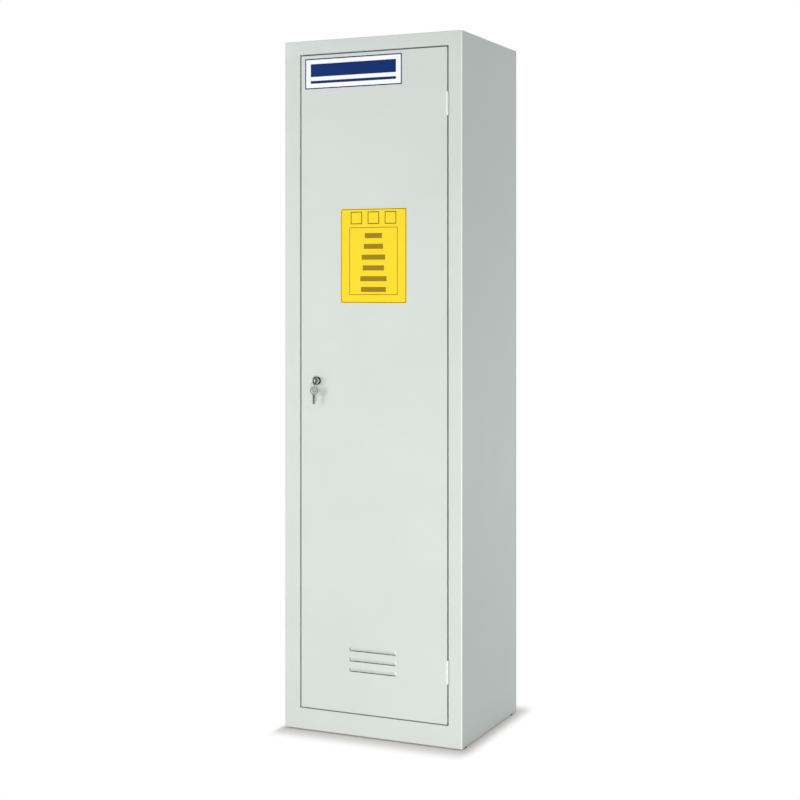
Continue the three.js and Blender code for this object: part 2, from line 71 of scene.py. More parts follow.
MM = 0.001
TOUCH = 1e-5
BORE_DEPTH = 6 * MM
QUARTER = math.pi / 2
HEIGHTS, ENDS, SIDES = ("upper", "lower"), ("front", "rear"), ("left", "right")
FINISHES = {}
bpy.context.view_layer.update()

# How deep each notch of a key is cut, as a share of a full one, from the tip upwards
NOTCHES = (0.9, 0.5, 1, 0.35)
# A screw head's profile, as radius and height, and two corners of its slot, in millimetres
SCREW_DOME = ((0, 1.6), (1.6, 1.4), (2.8, 0.7), (3.1, 0), (3.1, -0.5), (0, -0.5))
SCREW_SLOT = ((-3.4, -0.35, 0.8), (3.4, 0.35, 2))
# Each lamp's place, target, width and colour
LAMPS = {
    "key": ((-9.4, -10.2, 1.4), (0, 0, 0.7), 4.1, (1, 0.98, 0.98)),
    "low": ((0.6, -3.2, 0.3), (0, 0, 0.4), 0.5, (1, 0.98, 0.98)),
    "foot": ((0.3, -1.2, 0.05), (0, 0, 0.05), 0.3, (1, 0.98, 0.98)),
    "fill": ((1.5, 1.0, 0.7), (0.25, 0, 0.7), 0.5, (0.8, 1, 1)),
    "rear": ((-1.5, 4.2, 2.6), (0, 0, 1.1), 2.2, (0.93, 1, 1)),
}
# The tint of the room's light, the floor's width in metres, and the colour of dust
ROOM_TINT = (0.95, 1, 1)
FLOOR_SIZE = 24
DUST = (0.62, 0.6, 0.55)


# Places that every piece shares, taken from the frame
def box_of(node):
    """The lower corner, the upper corner and the middle of a frame node."""
    low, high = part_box(node)
    return low, high, (low + high) / 2


BACK_LOW, BACK_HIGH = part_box("back_panel")
SIDE_LOW, SIDE_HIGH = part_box("left_side")
DOOR_LOW, DOOR_HIGH, DOOR = box_of("door_panel")
LOCK_LOW, LOCK_HIGH, LOCK = box_of("lock_body")
LEFT_X, RIGHT_X = BACK_LOW.x, BACK_HIGH.x
FRONT_Y, INNER_BACK_Y, BACK_Y = SIDE_LOW.y, BACK_LOW.y, BACK_HIGH.y
BASE_Z, TOP_Z = SIDE_LOW.z, SIDE_HIGH.z
FLOOR_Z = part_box("floor_pan")[1].z
SHEET = BACK_Y - INNER_BACK_Y


def length(name, millimetres, description):
    """A size that a user can set, shown in the file's own unit of length."""
    return FloatProperty(name=name, description=description, default=millimetres * MM, min=0,
                         unit="LENGTH", precision=5)


def amount(name, default, description):
    """A plain number that a user can set."""
    return FloatProperty(name=name, description=description, default=default, min=0)


def count(name, default, description):
    """A number of like things that a user can set."""
    return IntProperty(name=name, description=description, default=default, min=1)


def tint(name, red, green, blue, description):
    """A colour that a user can set, given as it looks on a screen from 0 to 255."""
    return FloatVectorProperty(name=name, description=description, subtype="COLOR", size=3, min=0, max=1,
                               default=[linear(part / 255) for part in (red, green, blue)])


def linear(shown):
    """The light that a screen value from 0 to 1 stands for."""
    return shown / 12.92 if shown <= 0.04045 else ((shown + 0.055) / 1.055) ** 2.4


class CabinetCarcassSizes(bpy.types.PropertyGroup):
    """Sizes of the folded sheets that make the body"""
    fold_radius: length("Fold radius", 2.4, "Outer radius of each fold in the sheets")
    opening_radius: length("Opening radius", 1.3, "Outer radius of the folds beside the door")
    edge_radius: length("Edge radius", 0.25, "Rounding of each cut sheet edge under its paint")
    lip: length("Lip", 12, "Width of the stop lip that the door shuts against")
    rebate: length("Rebate", 24, "How far the lip lies behind the front")
    flange: length("Flange", 24, "Width of the folded edges that meet the back and the floor")
    hole_gap: length("Hole gap", 0.35, "Room round the lower rod in its hole")
    hinge_gap: length("Hinge gap", 0.3, "Room round a hinge barrel in its slot")
    stem_hole: length("Foot hole", 4.3, "Radius of the hole for a foot's stem")
    rod_radius: length("Rod radius", 3, "Radius of the lower rod's round shaft")
    spot_pitch: length("Weld pitch", 150, "Distance between the spot welds on the back panel")
    spot_inset: length("Weld inset", 11, "Distance of the spot welds from the back panel's edge")
    spot_radius: length("Weld radius", 4, "Radius of the dimple that a spot weld leaves")
    spot_depth: length("Weld depth", 0.4, "Depth of the dimple that a spot weld leaves")


class CabinetDoorSizes(bpy.types.PropertyGroup):
    """Sizes of the door, its louvres and its cards"""
    corner_radius: length("Corner radius", 3, "Radius of the door's four corners")
    fold_radius: length("Fold radius", 1.5, "Outer radius of the fold round the door's face")
    edge_radius: length("Edge radius", 0.18, "Rounding of the door's cut edges")
    hem: length("Hem", 12, "Width of the folded edge at the door's rear")
    stiffener_edge: length("Stiffener edge", 0.3, "Rounding of the stiffener's edges")
    hinge_edge: length("Hinge edge", 0.25, "Rounding of the hinge leaves, and half that of the pins")
    lock_hole: length("Lock hole", 9.3, "Radius of the hole that the lock's case goes through")
    louvre_width: length("Louvre width", 132.5, "Width of a louvre")
    louvre_height: length("Louvre height", 11, "Height of a louvre's dish above its slit")
    louvre_depth: length("Louvre depth", 4, "How far a louvre's lower lip lies behind the face")
    louvre_pitch: length("Louvre pitch", 26.4, "Distance between two slits")
    louvre_rise: length("Louvre rise", 106.5, "Height of the lowest slit above the door's foot")
    louvre_count: count("Louvres", 3, "Number of louvres")
    louvre_end: length("Louvre end", 9, "Length over which a louvre's dish runs out at each end")
    louvre_gap: length("Louvre gap", 0.9, "Height of the open slit under a louvre's dish")
    card_radius: length("Card corner", 2, "Radius of a card's corners")
    card_edge: length("Card edge", 0.15, "Rounding of a card's front edge")


class CabinetLockSizes(bpy.types.PropertyGroup):
    """Sizes of the lock, its keys and their ring"""
    rosette_edge: length("Rosette edge", 1.1, "Rounding of the rosette's rim")
    # The darkened rim is painted shade
    rosette_rim: length("Rosette rim", 2.5, "Width of the rosette's darkened rim")
    dish_radius: length("Dish radius", 7.6, "Radius of the sunk ring round the plug")
    dish_depth: length("Dish depth", 1.8, "Depth of the sunk ring round the plug")
    case_radius: length("Case radius", 9, "Radius of the threaded case behind the rosette")
    thread: length("Thread pitch", 1, "Distance between two turns of the case's thread")
    plug_gap: length("Plug gap", 0.2, "Room between the plug and its case")
    plug_edge: length("Plug edge", 0.35, "Rounding of the plug's rim")
    keyway_gap: length("Keyway gap", 0.3, "Room round the key's blade in the plug")
    keyway_edge: length("Keyway edge", 0.15, "Rounding of the keyway's mouth")
    blade: length("Half blade", 3.2, "Half the width of a key's blade")
    key_edge: length("Key edge", 0.28, "Rounding of a key's edges")
    bow_rim: length("Bow rim", 1.5, "Width of the raised rim round a key's bow")
    bow_relief: length("Bow relief", 0.3, "Depth of the sunk face inside that rim")
    bow_hole: length("Bow hole", 4.2, "Radius of the hole in a key's bow")
    bow_hole_rise: length("Bow hole rise", 4.6, "Height of that hole above the bow's middle")
    notch_first: length("First notch", 4.2, "Distance of the first notch from a key's tip")
    notch_pitch: length("Notch pitch", 4, "Distance between two notches")
    notch_radius: length("Notch radius", 1.9, "Half the width of a notch at its mouth")
    notch_reach: length("Notch reach", 1.5, "How far outside the blade an uncut notch would lie")
    notch_travel: length("Notch travel", 1.2, "How much deeper a full notch lies")
    groove_width: length("Groove width", 1.5, "Width of the groove along a key's blade")
    groove_depth: length("Groove depth", 0.45, "Depth of the groove along a key's blade")
    groove_offset: length("Groove offset", 0.8, "Distance of the groove from the blade's middle line")
    wire_radius: length("Ring wire", 0.25, "Radius of the wire of the split ring")
    wire_pitch: length("Ring pitch", 0.52, "Distance between the two turns of the split ring")
    wire_inset: length("Ring inset", 0.6, "Distance of the wire's middle from the ring's outer edge")
    part_edge: length("Part edge", 0.25, "Rounding of the nut, the cam and the cam bolt")
    bolt_edge: length("Bolt edge", 0.3, "Rounding of the shooting bolts and their guides")


class CabinetFittingSizes(bpy.types.PropertyGroup):
    """Sizes of the shelves, the sump tray, the feet and the spigot"""
    shelf_hem: length("Shelf hem", 6, "Width of a shelf's rim, hemmed over inwards")
    shelf_fold: length("Shelf fold", 1.6, "Outer radius of a shelf's folds")
    fitting_edge: length("Fitting edge", 0.2, "Rounding of the edges of shelves, clips and uprights")
    tray_wall: length("Tray wall", 4, "Thickness of the sump tray")
    tray_corner: length("Tray corner", 14, "Radius of the sump tray's upright corners")
    tray_draft: length("Tray draft", 6, "How far each wall leans in towards the tray's floor")
    tray_fold: length("Tray fold", 3, "Radius between the tray's walls and its floor")
    tray_rim: length("Tray rim", 1.2, "Rounding of the tray's rim")
    rib_count: count("Ribs", 7, "Number of ribs in the tray's floor")
    rib_pitch: length("Rib pitch", 44, "Distance between two ribs")
    rib_width: length("Rib width", 4, "Width of a rib")
    rib_rise: length("Rib rise", 2.4, "Height of a rib above the tray's floor")
    rib_inset: length("Rib inset", 40, "Distance of a rib's ends from the tray's outer edge")
    rib_edge: length("Rib edge", 1.4, "Rounding of a rib")
    foot_stem: length("Foot stem", 4, "Radius of a foot's stem")
    buffer_edge: length("Buffer edge", 0.8, "Rounding of a door buffer")
    duct_radius: length("Duct radius", 50, "Outer radius of the spigot's tube")
    duct_bore: length("Duct bore", 48.5, "Inner radius of the tube and radius of the roof's hole")
    duct_flange: length("Duct flange", 2, "Thickness of the spigot's flange")
    duct_fillet: length("Duct fillet", 1.6, "Radius between the flange and the tube")
    duct_bead: length("Duct bead", 0.9, "Height of the bead that keeps a hose on")
    screw_count: count("Screws", 6, "Number of screws in the flange")


class CabinetFinishes(bpy.types.PropertyGroup):
    """Colours of the cabinet's finishes"""
    paint: tint("Paint", 206, 213, 210, "Pale grey-green powder coat of the body and the door")
    shelf_paint: tint("Shelf paint", 203, 206, 205, "Powder coat of the shelves")
    zinc: tint("Zinc", 176, 181, 185, "Clear-passivated zinc of the fittings")
    chrome: tint("Chrome", 214, 216, 216, "Chrome plate of the lock")
    # Painted shade: the lock's rim is painted nearly black
    painted_rim_shade: tint("Recess", 24, 26, 24, "Darkened rim of the lock")
    steel: tint("Steel", 232, 233, 234, "Bright steel of the hinge pins and the cam bolt")
    # Painted reflection: the keys' nickel is darkened as painted dark reflection, and the faces of their bows
    # are brightened as painted reflection
    nickel: tint("Nickel", 112, 116, 112, "Worn nickel plate of the keys and their ring")
    nickel_highlight: tint("Bright nickel", 146, 150, 146, "Rubbed-bright face of a key's bow")
    polypropylene: tint("Polypropylene", 214, 216, 213, "Moulded plastic of the tray and the spigot")
    rubber: tint("Rubber", 31, 31, 33, "Rubber of the feet and the door buffers")
    card_white: tint("White card", 252, 254, 255, "Ground of the name card")
    card_blue: tint("Blue ink", 0, 43, 109, "Border and bar of the name card")
    card_yellow: tint("Yellow card", 249, 219, 46, "Ground of the contents card")
    card_ink: tint("Brown ink", 100, 67, 4, "Lines and bars on the contents card")


class CabinetStage(bpy.types.PropertyGroup):
    """Camera, lamps and floor"""
    camera_place: FloatVectorProperty(name="Camera", description="Place of the camera", subtype="TRANSLATION",
                                      size=3, default=(1.709, -3.8862, 1.160), unit="LENGTH")
    camera_turn: FloatProperty(name="Turn", description="Camera's turn about the upright axis",
                               subtype="ANGLE", default=math.radians(25.09))
    lens: amount("Lens", 71.59, "Focal length in millimetres")
    shift: FloatVectorProperty(name="Shift", description="Camera shift across and up, in image widths",
                               size=2, default=(0.0461, -0.1423))
    key_power: amount("Key light", 703, "Power of the large lamp far off in front at the left")
    low_power: amount("Low light", 31.5, "Power of the lamp low down in front")
    foot_power: amount("Foot light", 1.1, "Power of the small lamp close to the foot")
    fill_power: amount("Fill light", 4.6, "Power of the small lamp at the right")
    rear_power: amount("Rear light", 35.6, "Power of the lamp behind")
    room_light: amount("Room light", 0.498, "Strength of the even light")
    shadow_front: length("Shadow in front", 95, "Distance in front at which the floor turns white")
    shadow_left: length("Shadow on the left", 20, "Distance on the left at which the floor turns white")
    shadow_right: length("Shadow on the right", 46, "Distance on the right at which the floor turns white")
    shadow_lift: amount("Shadow lift", 0.12, "Share of white in the darkest shadow")
    floor: tint("Floor", 235, 226, 222, "Pale floor that holds the shadow")


# Editing by hand, in code
def deselect():
    if bpy.context.object and bpy.context.object.mode != "OBJECT":
        bpy.ops.object.mode_set(mode="OBJECT")
    bpy.ops.object.select_all(action="DESELECT")


def activate(piece):
    deselect()
    piece.select_set(True)
    bpy.context.view_layer.objects.active = piece


def named(name):
    """Names the active piece and puts its place and turn into its mesh."""
    piece = bpy.context.object
    piece.name = name
    piece.data.name = name
    bpy.ops.object.transform_apply(location=True, rotation=True, scale=True)
    return piece


@contextmanager
def editing(piece):
    """Edit mode on one piece, with nothing selected at first."""
    activate(piece)
    bpy.ops.object.mode_set(mode="EDIT")
    bpy.ops.mesh.select_mode(type="VERT")
    bpy.ops.mesh.select_all(action="DESELECT")
    yield
    bpy.ops.object.mode_set(mode="OBJECT")


def select_all():
    bpy.ops.mesh.select_all(action="SELECT")


def middle(part):
    """The middle of a vertex, an edge or a face."""
    if isinstance(part, bmesh.types.BMVert):
        return part.co
    return sum((vertex.co for vertex in part.verts), Vector()) / len(part.verts)


def select(kind, test):
    """Selects the vertices, edges or faces of the edited piece that pass a test."""
    bpy.ops.mesh.select_mode(type={"verts": "VERT", "edges": "EDGE", "faces": "FACE"}[kind])
    bpy.ops.mesh.select_all(action="DESELECT")
    mesh = bpy.context.edit_object.data
    shape = bmesh.from_edit_mesh(mesh)
    for part in getattr(shape, kind):
        if test(part):
            part.select_set(True)
    shape.select_flush_mode()
    bmesh.update_edit_mesh(mesh)


def near(a, b):
    return abs(a - b) < TOUCH


def lies_along(edge, axis):
    """Whether an edge's two ends differ in one axis."""
    start, end = [vertex.co["xyz".index(axis)] for vertex in edge.verts]
    return not near(start, end)


def extrude(offset):
    bpy.ops.mesh.extrude_region_move(TRANSFORM_OT_translate={"value": offset})


def bisect_at(axis, place):
    """Cuts all that is selected across one axis."""
    normal = Vector([letter == axis for letter in "xyz"])
    bpy.ops.mesh.bisect(plane_co=normal * place, plane_no=normal)


def bevel(width, segments, corners=False):
    """Rounds the selected edges, or the corners at the selected vertices."""
    bpy.ops.mesh.bevel(offset=width, segments=segments, profile=0.5,
                       affect="VERTICES" if corners else "EDGES")


def weld(distance=TOUCH):
    """Makes one vertex of those that lie closer than a distance."""
    select_all()
    bpy.ops.mesh.remove_doubles(threshold=distance)


def face_outwards():
    select_all()
    bpy.ops.mesh.normals_make_consistent(inside=False)


def modify(piece, kind, **settings):
    """Adds a modifier, sets it and applies it."""
    activate(piece)
    modifier = piece.modifiers.new(kind.title(), kind)
    for key, value in settings.items():
        setattr(modifier, key, value)
    bpy.ops.object.modifier_apply(modifier=modifier.name)


def round_edges(piece, width, segments=2, angle=35):
    modify(piece, "BEVEL", width=width, segments=segments, limit_method="ANGLE",
           angle_limit=math.radians(angle), use_clamp_overlap=True)


def smooth(piece, angle=32):
    """Shades folds and curves smoothly, and keeps the flat faces beside them flat."""
    activate(piece)
    bpy.ops.object.shade_smooth_by_angle(angle=math.radians(angle))
    modify(piece, "WEIGHTED_NORMAL", keep_sharp=True)
    return piece


def softened(piece, width, segments=2, angle=35):
    """Rounds a piece's edges and shades it."""
    round_edges(piece, width, segments, angle)
    return smooth(piece)


def thicken(piece):
    """Gives an open sheet its wall, on the far side from its outward faces."""
    modify(piece, "SOLIDIFY", thickness=SHEET, offset=-1, use_even_offset=True)


def block(name, low, high):
    """A cube primitive at its size and place, to be shaped further."""
    deselect()
    centre = (Vector(low) + Vector(high)) / 2
    bpy.ops.mesh.primitive_cube_add(size=1, location=centre, scale=Vector(high) - Vector(low))
    return named(name)


def cylinder(name, centre, radius, depth, axis="z", sides=48):
    """A cylinder primitive that stands upright, or lies along Y."""
    deselect()
    bpy.ops.mesh.primitive_cylinder_add(vertices=sides, radius=radius, depth=depth, location=centre,
                                        rotation=(QUARTER if axis == "y" else 0, 0, 0))
    return named(name)


def combine(piece, other, operation="DIFFERENCE"):
    """Cuts a piece by another one, or joins them, and uses the other one up."""
    modify(piece, "BOOLEAN", object=other, operation=operation, solver="EXACT")
    mesh = other.data
    bpy.data.objects.remove(other)
    bpy.data.meshes.remove(mesh)


def bore(piece, centre, radius, axis="z"):
    """Drills a round hole through a sheet."""
    combine(piece, cylinder("bore", centre, radius, BORE_DEPTH, axis))


def merge(name, pieces):
    """Makes one object of several separate solids."""
    activate(pieces[0])
    for piece in pieces:
        piece.select_set(True)
    bpy.ops.object.join()
    return named(name)


def copy_of(piece, name):
    activate(piece)
    bpy.ops.object.duplicate()
    return named(name)


def face_plate(name, xs, zs):
    """A plane primitive that stands in X and Z at the front and faces forwards."""
    deselect()
    centre = (sum(xs) / 2, FRONT_Y, sum(zs) / 2)
    bpy.ops.mesh.primitive_plane_add(size=1, location=centre, rotation=(QUARTER, 0, 0))
    bpy.context.object.scale = (xs[1] - xs[0], zs[1] - zs[0], 1)
    return named(name)


def fold_from(test, *offsets):
    """Folds a strip of sheet on from an edge, one leg for each offset."""
    select("edges", test)
    for offset in offsets:
        extrude(offset)


def is_fold(edge):
    """Whether two faces meet at an edge and turn there by more than 45 degrees."""
    return len(edge.link_faces) == 2 and edge.calc_face_angle() > QUARTER / 2


def turned(name, profile, centre, axis, steps, ring=False):
    """A turned piece: points of (radius, place along the axis), extruded one by one and spun."""
    along = Vector([letter == axis for letter in "xyz"])
    points = [Vector(centre) + Vector((radius, 0, 0)) + along * place for radius, place in profile]
    deselect()
    bpy.ops.mesh.primitive_plane_add(size=MM, location=points[0])
    piece = named(name)
    with editing(piece):
        select_all()
        bpy.ops.mesh.merge(type="CENTER")
        for start, end in zip(points, points[1:]):
            extrude(end - start)
        if ring:
            ends = (points[0], points[-1])
            select("verts", lambda vertex: min((vertex.co - end).length for end in ends) < TOUCH)
            bpy.ops.mesh.edge_face_add()
        select_all()
        bpy.ops.mesh.spin(steps=steps, angle=2 * math.pi, center=centre, axis=along)
        weld()
        face_outwards()
    return piece


def arc_points(centre, radius, start, end, steps=5):
    """Points of a rounded corner in a turned profile, from one angle in degrees to another."""
    turns = [math.radians(start + (end - start) * index / steps) for index in range(steps + 1)]
    return [(centre[0] + radius * math.cos(turn), centre[1] + radius * math.sin(turn)) for turn in turns]


def refined(node, name, edge, segments=2):
    """A merged copy of a frame node, with its flat faces whole and its edges rounded."""
    piece = copy_of(frame["nodes"][node], name)
    if piece.parent:
        bpy.ops.object.parent_clear(type="CLEAR_KEEP_TRANSFORM")
    for key in [key for key in piece.keys() if key.startswith("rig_")]:
        del piece[key]
    with editing(piece):
        weld(TOUCH / 10)
        bpy.ops.mesh.dissolve_limited(angle_limit=math.radians(1))
    return softened(piece, edge, segments)


def finish_piece(piece, slot, body, *nodes):
    """Gives a piece the finish of its slot, its body and the nodes that it stands for."""
    piece.data.materials.clear()
    piece.data.materials.append(FINISHES[slot])
    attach(piece, body)
    if nodes:
        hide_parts(*nodes)


def round_node(node, ending, edge, slot, body, segments=2):
    """Dresses a frame node in a copy of itself with rounded edges."""
    finish_piece(refined(node, f"{node}_{ending}", edge, segments), slot, body, node)


# The folded sheets of the body
class Opening:
    """The door opening, inside the frame of stiles and rails."""
    def __init__(self, sizes):
        self.left = SIDE_HIGH.x - sizes.lip
        self.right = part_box("right_side")[0].x + sizes.lip
        self.bottom = FLOOR_Z - sizes.lip
        self.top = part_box("roof")[0].z + sizes.lip
        self.lip_y = FRONT_Y + sizes.rebate - SHEET


def cut_hinge_room(piece):
    """Cuts a slot for each hinge barrel, with room round it."""
    gap = bpy.context.scene.cabinet_carcass.hinge_gap
    for height in HEIGHTS:
        pin_low, pin_high, pin = box_of(f"hinge_{height}_pin")
        bottom = min(pin_low.z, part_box(f"hinge_{height}_frame_leaf")[0].z) - gap
        top = pin_high.z + gap
        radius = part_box(f"hinge_{height}_door_leaf")[1].x - pin.x + gap
        combine(piece, cylinder("hinge_room", (pin.x, pin.y, (bottom + top) / 2), radius, top - bottom))


def side_sheet(side, sizes):
    """A side wall folded round into its stile, its tabs and its rear flange, with the stop lip."""
    opening = Opening(sizes)
    outer, inner, inwards = (LEFT_X, opening.left, 1) if side == "left" else (RIGHT_X, opening.right, -1)
    tab = sizes.flange / 2
    rail_z = opening.top - sizes.lip
    piece = block(f"{side}_side_sheet", (min(outer, inner), FRONT_Y, BASE_Z),
                  (max(outer, inner), INNER_BACK_Y, TOP_Z))

    def behind_tab(face):
        return middle(face).y > FRONT_Y + tab

    def is_spare(face):
        width = tab if middle(face).z > TOP_Z - sizes.fold_radius else sizes.flange
        return behind_tab(face) and (middle(face).x - outer) * inwards > width

    def past_inner(part):
        return (middle(part).x - inner) * inwards

    with editing(piece):
        select("faces", lambda face: near(middle(face).x, inner))
        bpy.ops.mesh.delete(type="ONLY_FACE")
        select("edges", lambda edge: not near(middle(edge).x, inner))
        bevel(sizes.fold_radius, 4)
        select("faces", lambda face: not near(middle(face).y, FRONT_Y))
        bisect_at("y", FRONT_Y + tab)
        for width in (tab, sizes.flange):
            select("faces", behind_tab)
            bisect_at("x", outer + inwards * width)
        select("faces", is_spare)
        bpy.ops.mesh.delete(type="FACE")
        fold_from(lambda edge: near(middle(edge).x, inner) and near(middle(edge).y, FRONT_Y),
                  (0, opening.lip_y - FRONT_Y, 0), (inwards * sizes.lip, 0, 0))
        for height in (opening.bottom, opening.top, FLOOR_Z, rail_z):
            select("faces", lambda face: past_inner(face) > -TOUCH or near(middle(face).y, FRONT_Y))
            bisect_at("z", height)
        select("faces", lambda face: past_inner(face) > TOUCH and not FLOOR_Z < middle(face).z < rail_z)
        bpy.ops.mesh.delete(type="FACE")
        select("edges", lambda edge: is_fold(edge) and near(middle(edge).x, inner)
               and opening.bottom < middle(edge).z < opening.top)
        bevel(sizes.opening_radius, 3)
    thicken(piece)
    if side == "right":
        cut_hinge_room(piece)
    for end in ENDS:
        foot = box_of(f"foot_{end}_{side}")[2]
        bore(piece, (foot.x, foot.y, BASE_Z), sizes.stem_hole)
    return softened(piece, sizes.edge_radius)


def widen(piece, opening, bottom, start_y, inset):
    """Draws the flat part of a sheet out sideways to the walls, above a height and behind a depth."""
    with editing(piece):
        select_all()
        bisect_at("y", start_y)
        for x, wall_x in ((opening.left, LEFT_X + inset), (opening.right, RIGHT_X - inset)):
            select("edges", lambda edge: near(middle(edge).x, x) and middle(edge).z > bottom
                   and middle(edge).y > start_y and len(edge.link_faces) == 1)
            extrude((wall_x - x, 0, 0))


def roof_sheet(sizes):
    """The roof with its rear flange, the top rail, the lip behind the rail and the duct's hole."""
    opening = Opening(sizes)
    piece = face_plate("roof_sheet", (opening.left, opening.right), (opening.top, TOP_Z))
    with editing(piece):
        fold_from(lambda edge: near(middle(edge).z, TOP_Z),
                  (0, INNER_BACK_Y - FRONT_Y, 0), (0, 0, -sizes.flange))
        fold_from(lambda edge: near(middle(edge).z, opening.top),
                  (0, opening.lip_y - FRONT_Y, 0), (0, 0, -sizes.lip))
        select("edges", is_fold)
        bevel(sizes.fold_radius, 4)
    tab = sizes.flange / 2
    widen(piece, opening, TOP_Z - sizes.fold_radius, FRONT_Y + tab, tab)
    thicken(piece)
    duct = box_of("exhaust_spigot")[2]
    bore(piece, (duct.x, duct.y, TOP_Z), bpy.context.scene.cabinet_fittings.duct_bore)
    return softened(piece, sizes.edge_radius)


def floor_sheet(sizes):
    """The floor with its rear flange, the bottom rail and the lower rod's hole."""
    opening = Opening(sizes)
    piece = face_plate("floor_sheet", (opening.left, opening.right), (BASE_Z, opening.bottom))
    with editing(piece):
        fold_from(lambda edge: near(middle(edge).z, opening.bottom),
                  (0, opening.lip_y - FRONT_Y, 0), (0, 0, sizes.lip),
                  (0, INNER_BACK_Y - SHEET - opening.lip_y, 0), (0, 0, -sizes.flange))
        fold_from(lambda edge: near(middle(edge).z, BASE_Z), (0, sizes.flange, 0))
        select("edges", is_fold)
        bevel(sizes.fold_radius, 4)
    widen(piece, opening, FLOOR_Z - sizes.fold_radius, FRONT_Y + sizes.rebate + sizes.hole_gap, SHEET)
    thicken(piece)
    rod_x = box_of("rod_guide_lower_1")[2].x
    rod_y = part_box("lower_rod")[1].y - sizes.rod_radius
    bore(piece, (rod_x, rod_y, FLOOR_Z), sizes.rod_radius + sizes.hole_gap)
    return softened(piece, sizes.edge_radius)


def back_sheet(sizes):
    """The back panel, with the shallow marks of the spot welds that hold it to the flanges."""
    piece = block("back_sheet", (LEFT_X, INNER_BACK_Y, BASE_Z), (RIGHT_X, BACK_Y, TOP_Z))
    inset = sizes.spot_inset
    width, height = RIGHT_X - LEFT_X - 2 * inset, TOP_Z - BASE_Z - 2 * inset
    columns, rows = round(width / sizes.spot_pitch), round(height / sizes.spot_pitch)
    soft_edge = 0.9 * sizes.spot_depth
    marks = []
    for row in range(rows + 1):
        z = BASE_Z + inset + height * row / rows
        for column in range(columns + 1) if row in (0, rows) else (0, columns):
            centre = (LEFT_X + inset + width * column / columns, BACK_Y, z)
            mark = cylinder("weld_mark", centre, sizes.spot_radius, 2 * sizes.spot_depth, "y", sides=20)
            round_edges(mark, soft_edge)
            marks.append(mark)
    combine(piece, merge("weld_marks", marks))
    return softened(piece, sizes.edge_radius, angle=60)


# Door, louvres and cards
def press_louvres(sizes):
    """Presses the louvres into the edited face of the door: each is a dish above a slit."""
    half = sizes.louvre_width / 2
    slits = [DOOR_LOW.z + sizes.louvre_rise + index * sizes.louvre_pitch
             for index in range(sizes.louvre_count)]
    row_count, column_count = 8, 6
    rows = [sizes.louvre_height * index / row_count for index in range(row_count)]
    taper = [index / column_count for index in range(column_count + 1)]

    def above_slit(part):
        """How high a part lies above the slit of its louvre, or nothing where it is in none."""
        for slit in slits:
            if slit - TOUCH < middle(part).z < slit + sizes.louvre_height + TOUCH:
                return middle(part).z - slit
        return None

    def in_dish(part, margin=TOUCH):
        return above_slit(part) is not None and abs(middle(part).x - DOOR.x) < half + margin

    def columns(share):
        """Where a share of the run-out at both ends of a louvre lies."""
        reach = half - share * sizes.louvre_end
        return DOOR.x - reach, DOOR.x + reach

    for slit in slits:
        for height in (slit, slit + sizes.louvre_height):
            select_all()
            bisect_at("z", height)
    for share in taper:
        for x in columns(share):
            select("faces", in_dish if share else lambda face: above_slit(face) is not None)
            bisect_at("x", x)
    for slit in slits:
        for row in rows[1:]:
            select("faces", in_dish)
            bisect_at("z", slit + row)
    select("edges", lambda edge: in_dish(edge) and near(above_slit(edge), 0) and not lies_along(edge, "z"))
    bpy.ops.mesh.edge_split(type="EDGE")

    for row in rows:
        rise = row / sizes.louvre_height
        depth = sizes.louvre_depth * (1 - rise) ** 2 * (1 + 2 * rise)
        select("verts", lambda vertex: in_dish(vertex, -TOUCH) and near(above_slit(vertex), row)
               and all(middle(face).z > vertex.co.z - row for face in vertex.link_faces))
        bpy.ops.transform.translate(value=(0, depth, 0 if row else sizes.louvre_gap))
    for share in taper[1:-1]:
        fullness = share * share * (3 - 2 * share)
        select("verts", lambda vertex: in_dish(vertex) and vertex.co.y > FRONT_Y + TOUCH / 10
               and min(abs(vertex.co.x - x) for x in columns(share)) < TOUCH)
        bpy.ops.transform.resize(value=(1, fullness, 1), center_override=(0, FRONT_Y, 0))


def door_skin(sizes):
    """The door's face with its louvres, folded back and then inwards all round."""
    size = DOOR_HIGH - DOOR_LOW
    piece = face_plate("door_skin", (DOOR_LOW.x, DOOR_HIGH.x), (DOOR_LOW.z, DOOR_HIGH.z))

    def on_rim(part):
        spot, margin = middle(part) - DOOR, sizes.corner_radius + TOUCH
        return abs(spot.x) > size.x / 2 - margin or abs(spot.z) > size.z / 2 - margin

    with editing(piece):
        select_all()
        bevel(sizes.corner_radius, 6, corners=True)
        press_louvres(sizes)
        fold_from(lambda edge: len(edge.link_faces) == 1 and on_rim(edge), (0, size.y, 0), (0, 0, 0))
        shares = (1 - 2 * sizes.hem / size.x, 1, 1 - 2 * sizes.hem / size.z)
        bpy.ops.transform.resize(value=shares, center_override=DOOR)
        select("edges", lambda edge: is_fold(edge) and on_rim(edge))
        bevel(sizes.fold_radius, 4)
    thicken(piece)
    bore(piece, (LOCK.x, FRONT_Y, LOCK.z), sizes.lock_hole, "y")
    cut_hinge_room(piece)
    return softened(piece, sizes.edge_radius, angle=50)


def card(node, sizes):
    """A thin plate with round corners and a soft front edge."""
    low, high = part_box(node)
    piece = block(f"{node}_plate", low, high)
    with editing(piece):
        select("edges", lambda edge: lies_along(edge, "y"))
        bevel(sizes.card_radius, 6)
        select("edges", lambda edge: near(middle(edge).y, low.y) and is_fold(edge))
        bevel(sizes.card_edge, 2)
    return smooth(piece, angle=50)


